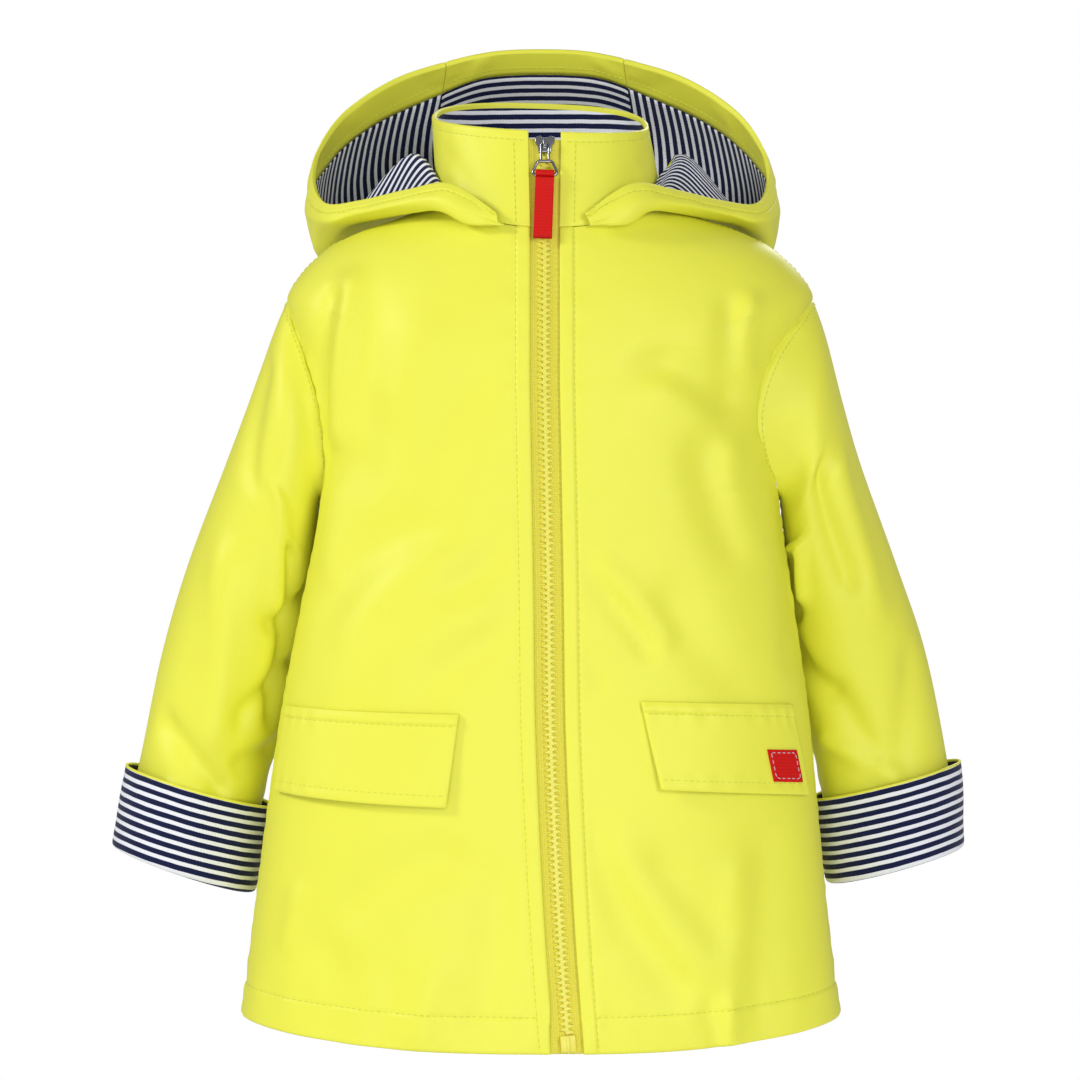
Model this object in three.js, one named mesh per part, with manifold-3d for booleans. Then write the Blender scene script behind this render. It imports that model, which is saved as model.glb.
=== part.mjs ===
// A child's hooded raincoat of coated cloth, about size 2 to 3 years. It stands filled out as
// if worn, with no wearer: zip closed, hood pushed back behind a stand collar, cuffs turned up.
// Millimetres. X is to the viewer's right, the front faces -Y, Z is up, and the origin is at
// the base of the neck. "left" and "right" in names are the wearer's own, so right is at -X.
import * as THREE from "three";
import Module from "manifold-3d";
import { mergeVertices } from "three/addons/utils/BufferGeometryUtils.js";

const wasm = await Module();
wasm.setup();

// Cloth walls and the room left between pieces.
const SHELL = 1.5;
const HOOD_SHELL = 1;
const HOOD_LAYER_GAP = 0.35;
const LINING = 1.0;
const LAYER_GAP = 0.5;
const SEAM_GAP = 0.3;
const HEM_FOLD = 2.1;
const QUARTER = Math.PI / 2;

// The two halves of the coat: direction along X, name, and how far the armhole cuts into the
// front and the back, in degrees of the way round the body.
const SIDES = [
  { key: "right", x: -1, cutFront: 17, cutBack: 26 },
  { key: "left", x: 1, cutFront: 27, cutBack: 26 },
];

// Rings of the body from hem to neck seam. z is given at centre front, side and centre back.
// right and left are half widths, middle is where the ring is widest, front and back are its
// ends along Y, square is the power of its rounded outline, and zip is where the zip crosses.
const BODY_ROWS = [
  { zFront: -449, zSide: -436, zBack: -440, right: 168, left: 158, middle: -12,
    front: -91, back: 90, square: 2.6, zip: 9.8 },
  { zFront: -385, zSide: -378, zBack: -380, right: 161, left: 151, middle: -12,
    front: -90, back: 88, square: 2.6, zip: 5 },
  { zFront: -324, zSide: -320, zBack: -321, right: 153.5, left: 145.5, middle: -12,
    front: -89, back: 86, square: 2.6, zip: 1.8 },
  { zFront: -270, zSide: -268, zBack: -268, right: 146, left: 140.5, middle: -12,
    front: -87.5, back: 85, square: 2.6, zip: -0.2 },
  { zFront: -212, zSide: -210, zBack: -210, right: 135, left: 132.5, middle: -12,
    front: -85.5, back: 84, square: 2.6, zip: -0.9 },
  { zFront: -157, zSide: -152, zBack: -153, right: 124.5, left: 124.5, middle: -10,
    front: -83, back: 83, square: 2.5, zip: -1.8 },
  { zFront: -123, zSide: -112, zBack: -117, right: 129, left: 122, middle: -7,
    front: -80.5, back: 82, square: 2.4, zip: -2.4 },
  { zFront: -96, zSide: -77, zBack: -87, right: 138, left: 131, middle: -4,
    front: -78, back: 80, square: 2.3, zip: -2.9 },
  { zFront: -74, zSide: -47, zBack: -62, right: 144, left: 144, middle: -2,
    front: -75.5, back: 77, square: 2.2, zip: -2.9 },
  { zFront: -57, zSide: -26, zBack: -41, right: 130, left: 130, middle: -3,
    front: -73, back: 73, square: 2.15, zip: -2.9 },
  { zFront: -43, zSide: -12.5, zBack: -24, right: 110, left: 110, middle: -4,
    front: -70, back: 68, square: 2.15, zip: -2.9 },
  { zFront: -28, zSide: -4, zBack: -8, right: 86, left: 86, middle: -5,
    front: -66.5, back: 61, square: 2.2, zip: -2.9 },
  { zFront: -12, zSide: 5, zBack: 9, right: 62, left: 62, middle: -5,
    front: -62, back: 52, square: 2.3, zip: -2.9 },
];
const ARMPIT_ROW = 5;
const SHOULDER_ROW = 8;
const NECK_ROW = 12;

// Soft folds in the fronts: a ridge from one point to another, seen from the front. lift is
// how far it stands out of the cloth, and a negative one is a trough.
const FRONT_FOLDS = [
  { x: -112, z: -38, toX: -118, toZ: -150, wide: 13, lift: 4 },
  { x: -100, z: -60, toX: -100, toZ: -160, wide: 14, lift: -2.5 },
  { x: 113, z: -60, toX: 121, toZ: -170, wide: 13, lift: 3.5 },
  { x: 100, z: -70, toX: 104, toZ: -170, wide: 14, lift: -2 },
  { x: -16, z: -190, toX: -120, toZ: -240, wide: 20, lift: -3 },
  { x: 14, z: -200, toX: 50, toZ: -262, wide: 16, lift: -2.5 },
  { x: -52, z: -322, toX: -92, toZ: -362, wide: 18, lift: -3.5 },
  { x: 22, z: -360, toX: 50, toZ: -440, wide: 18, lift: -3.5 },
  { x: 118, z: -350, toX: 112, toZ: -445, wide: 16, lift: -3 },
  { x: -84, z: -390, toX: -92, toZ: -446, wide: 20, lift: 3 },
];
const BACK_FOLDS = [
  { x: 4, z: -120, toX: -8, toZ: -430, wide: 24, lift: -3 },
  { x: -70, z: -260, toX: -92, toZ: -440, wide: 24, lift: 3 },
  { x: 76, z: -250, toX: 96, toZ: -440, wide: 24, lift: 3 },
  { x: -96, z: -70, toX: -60, toZ: -190, wide: 20, lift: -3 },
  { x: 96, z: -70, toX: 64, toZ: -180, wide: 20, lift: -3 },
];

// Rings of each sleeve below the armhole, from its first ring to its end: the outer and the
// inner point of the ring in front view, the middle and half of its depth.
const SLEEVE_ROWS = {
  right: [
    { outX: -153, outZ: -68, inX: -127, inZ: -161, middle: 1, half: 41 },
    { outX: -167, outZ: -106, inX: -129, inZ: -177, middle: 6, half: 43 },
    { outX: -180, outZ: -139, inX: -131.5, inZ: -197, middle: 12, half: 44 },
    { outX: -201, outZ: -193, inX: -136.5, inZ: -228, middle: 19, half: 43 },
    { outX: -216, outZ: -243, inX: -146, inZ: -272, middle: 24, half: 40 },
    { outX: -229, outZ: -304, inX: -160.5, inZ: -325, middle: 27, half: 36 },
    { outX: -240.5, outZ: -347, inX: -167, inZ: -372, middle: 28, half: 35.5 },
  ],
  left: [
    { outX: 151.5, outZ: -67, inX: 127, inZ: -161, middle: 1, half: 41 },
    { outX: 161.5, outZ: -104, inX: 129, inZ: -177, middle: 6, half: 43 },
    { outX: 172, outZ: -138, inX: 130.5, inZ: -198, middle: 12, half: 44 },
    { outX: 192, outZ: -192, inX: 134, inZ: -228, middle: 19, half: 43 },
    { outX: 208.5, outZ: -240, inX: 140.5, inZ: -271, middle: 24, half: 40 },
    { outX: 220.5, outZ: -297, inX: 151, inZ: -317, middle: 27, half: 36 },
    { outX: 227.5, outZ: -347, inX: 157, inZ: -367, middle: 28, half: 35.5 },
  ],
};
const SLEEVE_END = 7;
const UNDERARM_GAP = 1.25;

// Folds across the sleeves: the ring they lie on, how far round they are centred (0 outer,
// 90 front, 180 inner, 270 back), their widths along and around, and how far they stand out.
const SLEEVE_FOLDS = [
  { at: 3.4, turn: 150, along: 0.35, around: 50, lift: -3 },
  { at: 4.1, turn: 110, along: 0.3, around: 55, lift: 2.5 },
  { at: 4.7, turn: 140, along: 0.3, around: 60, lift: -3 },
  { at: 5.4, turn: 80, along: 0.35, around: 60, lift: 2.5 },
  { at: 3.9, turn: 250, along: 0.5, around: 60, lift: -2.5 },
  { at: 5.0, turn: 290, along: 0.4, around: 60, lift: -2.5 },
];

// The turned-up cuff: distances along the sleeve from its end and out from its outer face.
const CUFF_TOP = 45;
const CUFF_INSIDE = 16;
const CUFF_WALL = 1.2;
const CUFF_FLARE = 5.4;
const CUFF_SNUG = 2.6;

// The stand collar: its ring at the top edge. The ring at the bottom is the neck seam.
const COLLAR_TOP = {
  zFront: 41, zSide: 52, zBack: 67, half: 59.5, middle: -1, front: -50, back: 49,
  square: 2.5, lean: 2.5, shift: -5.5,
};
const COLLAR_AROUND = 26;
const COLLAR_EDGE = 0.94;

// The hood, half of it, from centre back round to its front end. Each row gives its rim, the
// outer wall below it, the fold it lies on, the floor or crest inside, and where it meets the
// neck: the angle from centre front, and how far out from the seam.
const HOOD_ROWS = [
  { rim: [0, 95, 104], wall: [0, 130, 46], fold: [0, 135, -46], floor: [0, 97, -36],
    neck: 180, out: 0.9 },
  { rim: [28, 94, 102.5], wall: [32, 129, 45], fold: [30, 134, -47], floor: [22, 96, -36],
    neck: 171, out: 0.9 },
  { rim: [55, 90, 96], wall: [63, 125, 42], fold: [58, 130, -46], floor: [43, 92, -34],
    neck: 162, out: 0.9 },
  { rim: [84, 80, 85], wall: [94, 113, 34], fold: [86, 119, -43], floor: [64, 82, -28],
    neck: 151, out: 0.9 },
  { rim: [111, 64, 65], wall: [120, 92, 20], fold: [112, 96, -34], floor: [80, 66, -15],
    neck: 137, out: 0.9 },
  { rim: [125, 44, 42], wall: [132, 58, 6], fold: [123, 62, -26], floor: [90, 48, -4],
    neck: 124, out: 0.9 },
  { rim: [127, 20, 21], wall: [132, 23, 0], fold: [124, 30, -18], floor: [92, 26, 4],
    neck: 110, out: 2.2 },
  { rim: [118, -6, 6], wall: [121, -7, -4], fold: [108, 8, -5.5], floor: [86, 6, 20],
    neck: 96, out: 3.6 },
  { rim: [98, -24, 6], wall: [100.5, -26, -2.5], fold: [86, -9, -1], floor: [74, -5, 31],
    neck: 82, out: 3.8 },
  { rim: [72, -43, 10], wall: [76, -46, 1], fold: [68.5, -34, -1], floor: [64, -20, 21],
    neck: 64, out: 4.6 },
  { rim: [48, -55, 12], wall: [52, -61, 3], fold: [51.5, -61, -4], floor: [48, -58, -8],
    neck: 45, out: 4.4 },
  { rim: [23, -65.5, -5], wall: [24, -66, -8], fold: [24, -66, -10.5], floor: [23, -65, -11.5],
    neck: 21, out: 4.2 },
];
const HOOD_SKEW = { rim: -5, wall: -4, fold: -3, floor: -1.5 };
const HOOD_SEAMS = { right: 9, left: 12.75 };
const HOOD_BAND = 15;
const HOOD_LIFT = 1;

// The zip: half the opening between the fronts, the tapes behind them, the chain of teeth,
// the box at its foot, and the slider at the top of the collar. foot, top, chainFoot and
// chainTop are places along the zip, in body rows, with the collar as one more row.
const ZIP_HALF_GAP = 7.8;
const TAPE_HALF = 12.5;
const TAPE_WALL = 0.8;
const TAPE_BACK = 2.5;
const CHAIN_HALF = 3.25;
const CHAIN_FRONT = 0.3;
const CHAIN_BACK = -1.7;
const ZIP_BOX = { wide: 8, front: 1.4, foot: 0.02, top: 0.16, chainFoot: 0.17, chainTop: 12.74 };
const SLIDER_TURN = 0.226;
const SLIDER = { z: 33, y: -51.8, wide: 10.6, tall: 9.4, wall: 2.6, lift: 1.8 };
const BRIDGE = { wide: 2, half: 2.3, inner: 1.3, room: 1.05, bar: 1.1, sunk: 0.5, corner: 0.5 };
const PULL = { wall: 1.4, barHalf: 0.7, eye: 3.6, arm: 1.4, eyeRoom: 0.4, frameTop: 9.5,
  frameEnd: 19, topHalf: 4.6, endHalf: 7.4, wire: 1.6, corner: 3 };
const TAB = { wide: 10, end: 53, layer: 0.95, tilt: 0.035, loop: 1.25, loopFoot: 6 };

// The pocket flaps: the corners of each, next to the zip and next to the side, as the way
// round the body in degrees and the body row, and the stages down each flap: its inner and
// outer face out from the front.
const FLAP_CORNERS = {
  right: {
    top: [{ turn: 13.5, row: 2.99 }, { turn: 72.9, row: 3.01 }],
    foot: [{ turn: 15.1, row: 2.07 }, { turn: 70.2, row: 2.13 }],
  },
  left: {
    top: [{ turn: 14.1, row: 3.11 }, { turn: 63, row: 3.03 }],
    foot: [{ turn: 17.6, row: 2.24 }, { turn: 66.9, row: 2.09 }],
  },
};
const FLAP_ACROSS = 16;
const FLAP_STAGES = [
  { down: 0, inner: 0.6, outer: 1.9 },
  { down: 0.08, inner: 0.6, outer: 3.2 },
  { down: 0.13, inner: 0.7, outer: 2.7 },
  { down: 0.5, inner: 1.3, outer: 3.2 },
  { down: 1, inner: 3, outer: 4.8 },
];
const LABEL = { from: 0.65, to: 0.92, top: 0.5, bottom: 0.86, lift: 0.3, wall: 0.8 };

const COLOURS = {
  shell: { color: 0xe4ea58, roughness: 0.42, metalness: 0 },
  shellTop: { color: 0xdfe652, roughness: 0.42, metalness: 0 },
  lining: { color: 0x2a3262, roughness: 0.95, metalness: 0 },
  tape: { color: 0xeee04c, roughness: 0.7, metalness: 0 },
  teeth: { color: 0xf0e458, roughness: 0.4, metalness: 0 },
  steel: { color: 0xb9bcc2, roughness: 0.22, metalness: 1 },
  webbing: { color: 0xcf1512, roughness: 0.7, metalness: 0 },
};

const raincoat = new THREE.Group();

// A smooth curve through evenly numbered values, read at any place between them.
function spline(values, at) {
  const last = values.length - 1;
  const low = Math.min(Math.max(Math.floor(at), 0), last - 1);
  const t = at - low;
  const start = values[low];
  const end = values[low + 1];
  const before = low > 0 ? values[low - 1] : 2 * start - end;
  const after = low + 2 <= last ? values[low + 2] : 2 * end - start;
  const pull = (end - before) / 2;
  const push = (after - start) / 2;
  const gap = end - start;
  return start + pull * t + (3 * gap - 2 * pull - push) * t * t
    + (pull + push - 2 * gap) * t * t * t;
}

function column(rows, name) {
  return rows.map((row) => row[name]);
}

function ease(from, to, value) {
  return THREE.MathUtils.smoothstep(value, from, to);
}

// Push a point out where folds run near it, seen from the front.
function foldLift(folds, x, z) {
  let lift = 0;
  for (const fold of folds) {
    const runX = fold.toX - fold.x;
    const runZ = fold.toZ - fold.z;
    const length = Math.hypot(runX, runZ);
    const along = ((x - fold.x) * runX + (z - fold.z) * runZ) / length;
    const across = ((x - fold.x) * runZ - (z - fold.z) * runX) / length;
    const ends = ease(-fold.wide, fold.wide, along)
      * (1 - ease(length - fold.wide, length + fold.wide, along));
    lift += fold.lift * ends * Math.exp(-((across / fold.wide) ** 2));
  }
  return lift;
}

const BODY = {};
for (const name of Object.keys(BODY_ROWS[0])) {
  BODY[name] = column(BODY_ROWS, name);
}

// A point of the body: side -1 or 1, the turn from centre front (0) to centre back (pi), and
// the row, counted from the hem.
function bodyPoint(side, turn, row) {
  const half = spline(side < 0 ? BODY.right : BODY.left, row);
  const power = 2 / spline(BODY.square, row);
  const middle = spline(BODY.middle, row);
  const sine = Math.max(Math.sin(turn), 0);
  const cosine = Math.cos(turn);
  const reach = spline(cosine > 0 ? BODY.front : BODY.back, row) - middle;
  const zEnd = spline(cosine > 0 ? BODY.zFront : BODY.zBack, row);
  const zSide = spline(BODY.zSide, row);
  return new THREE.Vector3(
    side * half * sine ** power,
    middle + reach * Math.abs(cosine) ** power,
    zEnd + (zSide - zEnd) * sine * sine,
  );
}

// The turn at which a ring of the body crosses a given X.
function turnAt(side, x, row) {
  const half = spline(side < 0 ? BODY.right : BODY.left, row);
  const power = 2 / spline(BODY.square, row);
  return Math.asin(Math.min(Math.max(x * side, 0) / half, 1) ** (1 / power));
}

// How far the armhole cuts in from the side line at a row, as a turn.
function armholeCut(cut, row) {
  const rise = (row - armholeMiddle) / armholeHalf;
  return THREE.MathUtils.degToRad(cut) * Math.sqrt(Math.max(1 - rise * rise, 0));
}

// The normal of a surface given as point(u, v), by small steps.
function normalOf(point, u, v, outward) {
  const step = 5e-5;
  const alongU = point(u + step, v).sub(point(u - step, v));
  const alongV = point(u, v + step).sub(point(u, v - step));
  return alongU.cross(alongV).normalize().multiplyScalar(outward);
}

// Lean an offset direction into a seam's own plane, so that two walls meet without crossing.
function mitred(normal, seam) {
  const into = normal.dot(seam.plane) * seam.weight;
  const flat = normal.clone().addScaledVector(seam.plane, -into).normalize();
  return flat.multiplyScalar(1 / Math.max(flat.dot(normal), 0.65));
}

function signedVolume(geometry) {
  const place = geometry.attributes.position;
  const index = geometry.index;
  const corner = [new THREE.Vector3(), new THREE.Vector3(), new THREE.Vector3()];
  let sum = 0;
  for (let i = 0; i < index.count; i += 3) {
    corner.forEach((point, k) => point.fromBufferAttribute(place, index.getX(i + k)));
    sum += corner[0].dot(corner[1].clone().cross(corner[2])) / 6;
  }
  return sum;
}

// Leave only the shape, weld it, and turn it to face out.
function closed(geometry) {
  geometry.deleteAttribute("normal");
  geometry.deleteAttribute("uv");
  const welded = mergeVertices(geometry, 1e-4);
  if (signedVolume(welded) < 0) {
    const index = welded.index;
    for (let i = 0; i < index.count; i += 3) {
      const second = index.getX(i + 1);
      index.setX(i + 1, index.getX(i + 2));
      index.setX(i + 2, second);
    }
  }
  return welded;
}

// A cloth wall over a surface point(u, v): us and vs are the lines of its grid, outer and
// inner give the place of each face along the normal at line j of vs. trim draws the edges
// back for the seams, and seam(u, v) gives the plane of the seam there, if there is one.
function wall({ point, us, vs, outward, outer, inner, trim = {}, seam = () => null, swap }) {
  const across = us.length - 1;
  const up = vs.length - 1;
  const box = new THREE.BoxGeometry(1, 1, 1, across, up, 1);
  const place = box.attributes.position;
  const edgeGap = (i, j) => {
    const steps = [];
    if (i === 0 && trim.u0) steps.push([1, 0, trim.u0]);
    if (i === across && trim.u1) steps.push([-1, 0, trim.u1]);
    if (j === 0 && trim.v0) steps.push([0, 1, trim.v0]);
    if (j === up && trim.v1) steps.push([0, -1, trim.v1]);
    return steps;
  };
  for (let k = 0; k < place.count; k += 1) {
    const iBox = Math.round((place.getX(k) + 0.5) * across);
    const i = swap ? across - iBox : iBox;
    const j = Math.round((place.getY(k) + 0.5) * up);
    const u = us[i];
    const v = vs[j];
    const base = point(u, v);
    const normal = normalOf(point, u, v, outward);
    const plane = seam(u, v);
    const lean = plane ? mitred(normal, plane) : normal;
    const offset = place.getZ(k) > 0 ? outer(u, j) : inner(u, j);
    for (const [di, dj, gap] of edgeGap(i, j)) {
      const toward = point(us[i + di], vs[j + dj]).sub(base).normalize();
      base.addScaledVector(toward, gap);
    }
    base.addScaledVector(lean, offset);
    place.setXYZ(k, base.x, base.y, base.z);
  }
  return closed(box);
}

// A cloth tube: point(turn, along) is its outer face, and profile lists the wall's own
// section as places along and out from that face, once round.
function tube({ point, profile, around, outward, seam = () => null }) {
  const torus = new THREE.TorusGeometry(1, 0.5, profile.length, around);
  const uv = torus.attributes.uv;
  const place = torus.attributes.position;
  for (let k = 0; k < place.count; k += 1) {
    const turn = uv.getX(k) * 2 * Math.PI;
    const stage = profile[Math.round(uv.getY(k) * profile.length) % profile.length];
    const base = point(turn, stage.along);
    const normal = normalOf(point, turn, stage.along, outward);
    const plane = seam(turn, stage.along);
    const lean = plane ? mitred(normal, plane) : normal;
    base.addScaledVector(lean, stage.out);
    place.setXYZ(k, base.x, base.y, base.z);
  }
  return closed(torus);
}

function lines(from, to, count) {
  return Array.from({ length: count + 1 }, (_, i) => from + ((to - from) * i) / count);
}

function add(name, geometry, colour) {
  const mesh = new THREE.Mesh(geometry, new THREE.MeshStandardMaterial(COLOURS[colour]));
  mesh.name = name;
  raincoat.add(mesh);
  return mesh;
}

function manifoldOf(geometry) {
  const vertProperties = new Float32Array(geometry.attributes.position.array);
  const triVerts = new Uint32Array(geometry.index.array);
  return new wasm.Manifold(new wasm.Mesh({ numProp: 3, vertProperties, triVerts }));
}

function geometryOf(manifold) {
  const mesh = manifold.getMesh();
  const geometry = new THREE.BufferGeometry();
  const place = new THREE.BufferAttribute(new Float32Array(mesh.vertProperties), 3);
  geometry.setAttribute("position", place);
  geometry.setIndex(new THREE.BufferAttribute(new Uint32Array(mesh.triVerts), 1));
  return geometry;
}

// The fronts and the back. Their lines from hem to neck are shared, so that seams match.
// Beside the armhole they pass through the points of the sleeve's first ring.
const SLEEVE_AROUND = 20;
const armholeMiddle = (SHOULDER_ROW + ARMPIT_ROW) / 2;
const armholeHalf = (SHOULDER_ROW - ARMPIT_ROW) / 2;
const armholeLines = [8, 7, 6, 5, 4, 3, 2].map((step) => (
  armholeMiddle + armholeHalf * Math.cos((2 * Math.PI * step) / SLEEVE_AROUND)));
const BODY_LINES = [
  0, 0.28, 0.65, 1, 1.5, 2, 2.5, 3, 3.5, 4, 4.5, 5, ...armholeLines, 8, 8.6, 9.3, 10, 11, 12,
];
const HEM_LINE = 1;
const FRONT_ACROSS = 12;
const BACK_ACROSS = 11;
const seamPlane = (side) => new THREE.Vector3(side * 0.98, 0, -0.2).normalize();

function armholeSeam(side, row) {
  const rise = (row - armholeMiddle) / armholeHalf;
  if (Math.abs(rise) > 1) return null;
  return { plane: seamPlane(side), weight: ease(-0.9, -0.3, rise) };
}

function frontTurn(side, across, row) {
  const start = turnAt(side.x, side.x * ZIP_HALF_GAP + spline(BODY.zip, row), row);
  const end = QUARTER - armholeCut(side.cutFront, row);
  return start + (end - start) * across;
}

function frontPoint(side, across, row) {
  const clean = (u, v) => bodyPoint(side.x, frontTurn(side, u, v), v);
  const base = clean(across, row);
  const quiet = ease(0.02, 0.2, across) * (1 - ease(0.9, 1, across))
    * (1 - ease(NECK_ROW - 2, NECK_ROW - 0.6, row));
  const lift = foldLift(FRONT_FOLDS, base.x, base.z) * quiet;
  if (Math.abs(lift) < 1e-3) return base;
  const inside = Math.min(across, 0.998);
  return base.addScaledVector(normalOf(clean, inside, row, side.x), lift);
}

function backPoint(side, across, row) {
  const end = QUARTER + armholeCut(side.cutBack, row);
  const clean = (u, v) => {
    const edge = QUARTER + armholeCut(side.cutBack, v);
    return bodyPoint(side.x, Math.PI - (Math.PI - edge) * u, v);
  };
  const base = bodyPoint(side.x, Math.PI - (Math.PI - end) * across, row);
  const quiet = (1 - ease(0.9, 1, across)) * (1 - ease(NECK_ROW - 3, NECK_ROW - 1, row));
  const lift = foldLift(BACK_FOLDS, base.x, base.z) * quiet;
  if (Math.abs(lift) < 1e-3) return base;
  const u = Math.min(Math.max(across, 0.002), 0.998);
  return base.addScaledVector(normalOf(clean, u, row, -side.x), lift);
}

const hemInner = (_, line) => (line <= HEM_LINE ? -HEM_FOLD : -SHELL);
for (const side of SIDES) {
  add(`front_${side.key}`, wall({
    point: (u, v) => frontPoint(side, u, v),
    us: lines(0, 1, FRONT_ACROSS),
    vs: BODY_LINES,
    outward: side.x,
    outer: () => 0,
    inner: hemInner,
    trim: { u1: SEAM_GAP / 2, v1: SEAM_GAP / 2 },
    seam: (u, v) => (u > 0.99 ? armholeSeam(side.x, v) : null),
  }), "shell");
}
const bothBacks = (u, v) => backPoint(u < 0 ? SIDES[0] : SIDES[1], Math.abs(u), v);
add("back", wall({
  point: bothBacks,
  us: lines(-1, 1, 2 * BACK_ACROSS),
  vs: BODY_LINES,
  outward: -1,
  outer: () => 0,
  inner: hemInner,
  trim: { u0: SEAM_GAP / 2, u1: SEAM_GAP / 2, v1: SEAM_GAP / 2 },
  seam: (u, v) => (Math.abs(u) > 0.99 ? armholeSeam(Math.sign(u), v) : null),
}), "shell");

// The sleeves start on the armhole, turn 0 at the shoulder and 90 degrees at the front.
function armholePoint(side, turn) {
  const row = armholeMiddle + armholeHalf * Math.cos(turn);
  const forward = Math.sin(turn);
  const cut = THREE.MathUtils.degToRad(forward > 0 ? side.cutFront : side.cutBack);
  const point = bodyPoint(side.x, QUARTER - cut * forward, row);
  const drop = UNDERARM_GAP * ease(-0.6, 0.5, -Math.cos(turn));
  return point.addScaledVector(seamPlane(side.x), 1.4 * SEAM_GAP + drop);
}

function sleeveClean(side, turn, along) {
  const rows = SLEEVE_ROWS[side.key];
  const ring = (row) => new THREE.Vector3(
    (row.outX + row.inX) / 2 + ((row.outX - row.inX) / 2) * Math.cos(turn),
    row.middle - row.half * Math.sin(turn),
    (row.outZ + row.inZ) / 2 + ((row.outZ - row.inZ) / 2) * Math.cos(turn),
  );
  const rings = [armholePoint(side, turn), ...rows.map(ring)];
  const x = spline(rings.map((p) => p.x), along);
  const y = spline(rings.map((p) => p.y), along);
  const z = spline(rings.map((p) => p.z), along);
  return new THREE.Vector3(x, y, z);
}

function sleevePoint(side, turn, along) {
  const base = sleeveClean(side, turn, along);
  const degrees = THREE.MathUtils.radToDeg(turn);
  let lift = 0;
  for (const fold of SLEEVE_FOLDS) {
    const round = (((degrees - fold.turn + 540) % 360) - 180) / fold.around;
    lift += fold.lift * Math.exp(-(((along - fold.at) / fold.along) ** 2) - round * round);
  }
  if (Math.abs(lift) < 1e-2) return base;
  const normal = normalOf((u, v) => sleeveClean(side, u, v), turn, along, side.x);
  return base.addScaledVector(normal, lift);
}

const SLEEVE_LINES = [0, 0.5, 1, 1.5, 2, 2.5, 3, 3.5, 4, 4.5, 5, 5.6, 6.1, 6.95];
for (const side of SIDES) {
  const point = (turn, along) => sleevePoint(side, turn, along);
  const outside = SLEEVE_LINES.map((along) => ({ along, out: 0 }));
  const inside = SLEEVE_LINES.map((along) => ({ along, out: -SHELL })).reverse();
  add(`sleeve_${side.key}`, tube({
    point,
    profile: [...outside, ...inside],
    around: SLEEVE_AROUND,
    outward: side.x,
    seam: (turn, along) => (along > 0 ? null
      : { plane: seamPlane(side.x), weight: ease(-0.9, -0.3, Math.cos(turn)) }),
  }), "shell");

  // The cuff goes up the outside, round the sleeve's end and a little way up the inside.
  const rows = SLEEVE_ROWS[side.key];
  const lastRow = rows[rows.length - 1];
  const rowBefore = rows[rows.length - 2];
  const rowLength = Math.hypot(
    (lastRow.outX + lastRow.inX - rowBefore.outX - rowBefore.inX) / 2,
    (lastRow.outZ + lastRow.inZ - rowBefore.outZ - rowBefore.inZ) / 2,
  );
  const up = (mm) => SLEEVE_END - mm / rowLength;
  const bottom = up(-1.6);
  const inner = -SHELL - 0.5;
  const cuff = [
    { along: up(CUFF_TOP), out: CUFF_FLARE },
    { along: up(CUFF_TOP * 0.6), out: CUFF_FLARE - 0.8 },
    { along: up(CUFF_TOP * 0.25), out: CUFF_SNUG + 0.6 },
    { along: up(2), out: CUFF_SNUG },
    { along: bottom, out: CUFF_SNUG - 1.4 },
    { along: bottom, out: inner },
    { along: up(1), out: inner - CUFF_WALL },
    { along: up(CUFF_INSIDE), out: inner - CUFF_WALL },
    { along: up(CUFF_INSIDE), out: inner },
    { along: up(0.4), out: inner },
    { along: up(0.4), out: 0.5 },
    { along: up(CUFF_TOP * 0.25), out: CUFF_SNUG + 0.6 - CUFF_WALL },
    { along: up(CUFF_TOP * 0.6), out: CUFF_FLARE - 0.8 - CUFF_WALL },
    { along: up(CUFF_TOP), out: CUFF_FLARE - CUFF_WALL },
  ];
  add(`cuff_${side.key}`, tube({
    point: (turn, along) => sleeveClean(side, turn, along),
    profile: cuff,
    around: SLEEVE_AROUND,
    outward: side.x,
  }), "lining");
}

// The stand collar. around runs from the zip on the wearer's right, behind the neck, to the
// zip on the wearer's left, as a turn from -pi to pi; up is 0 at the seam and 1 at the top.
function neckRing(side, turn) {
  return bodyPoint(side, turn, NECK_ROW);
}

function collarPoint(around, up) {
  const side = around < 0 ? -1 : 1;
  const turn = Math.PI - Math.abs(around);
  const low = neckRing(side, turn);
  const power = 2 / COLLAR_TOP.square;
  const cosine = Math.cos(turn);
  const sine = Math.max(Math.sin(turn), 0);
  const reach = (cosine > 0 ? COLLAR_TOP.front : COLLAR_TOP.back) - COLLAR_TOP.middle;
  const zEnd = cosine > 0 ? COLLAR_TOP.zFront : COLLAR_TOP.zBack;
  const x = side * COLLAR_TOP.half * sine ** power;
  const rise = Math.abs(cosine) ** power;
  const high = new THREE.Vector3(
    x + COLLAR_TOP.shift * sine * sine,
    COLLAR_TOP.middle + reach * rise,
    COLLAR_TOP.zSide + (zEnd - COLLAR_TOP.zSide) * rise - (COLLAR_TOP.lean * x) / COLLAR_TOP.half,
  );
  return low.lerp(high, up);
}

function zipTurn(halfGap, side) {
  return Math.PI - turnAt(side, side * halfGap + BODY.zip[NECK_ROW], NECK_ROW);
}

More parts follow.
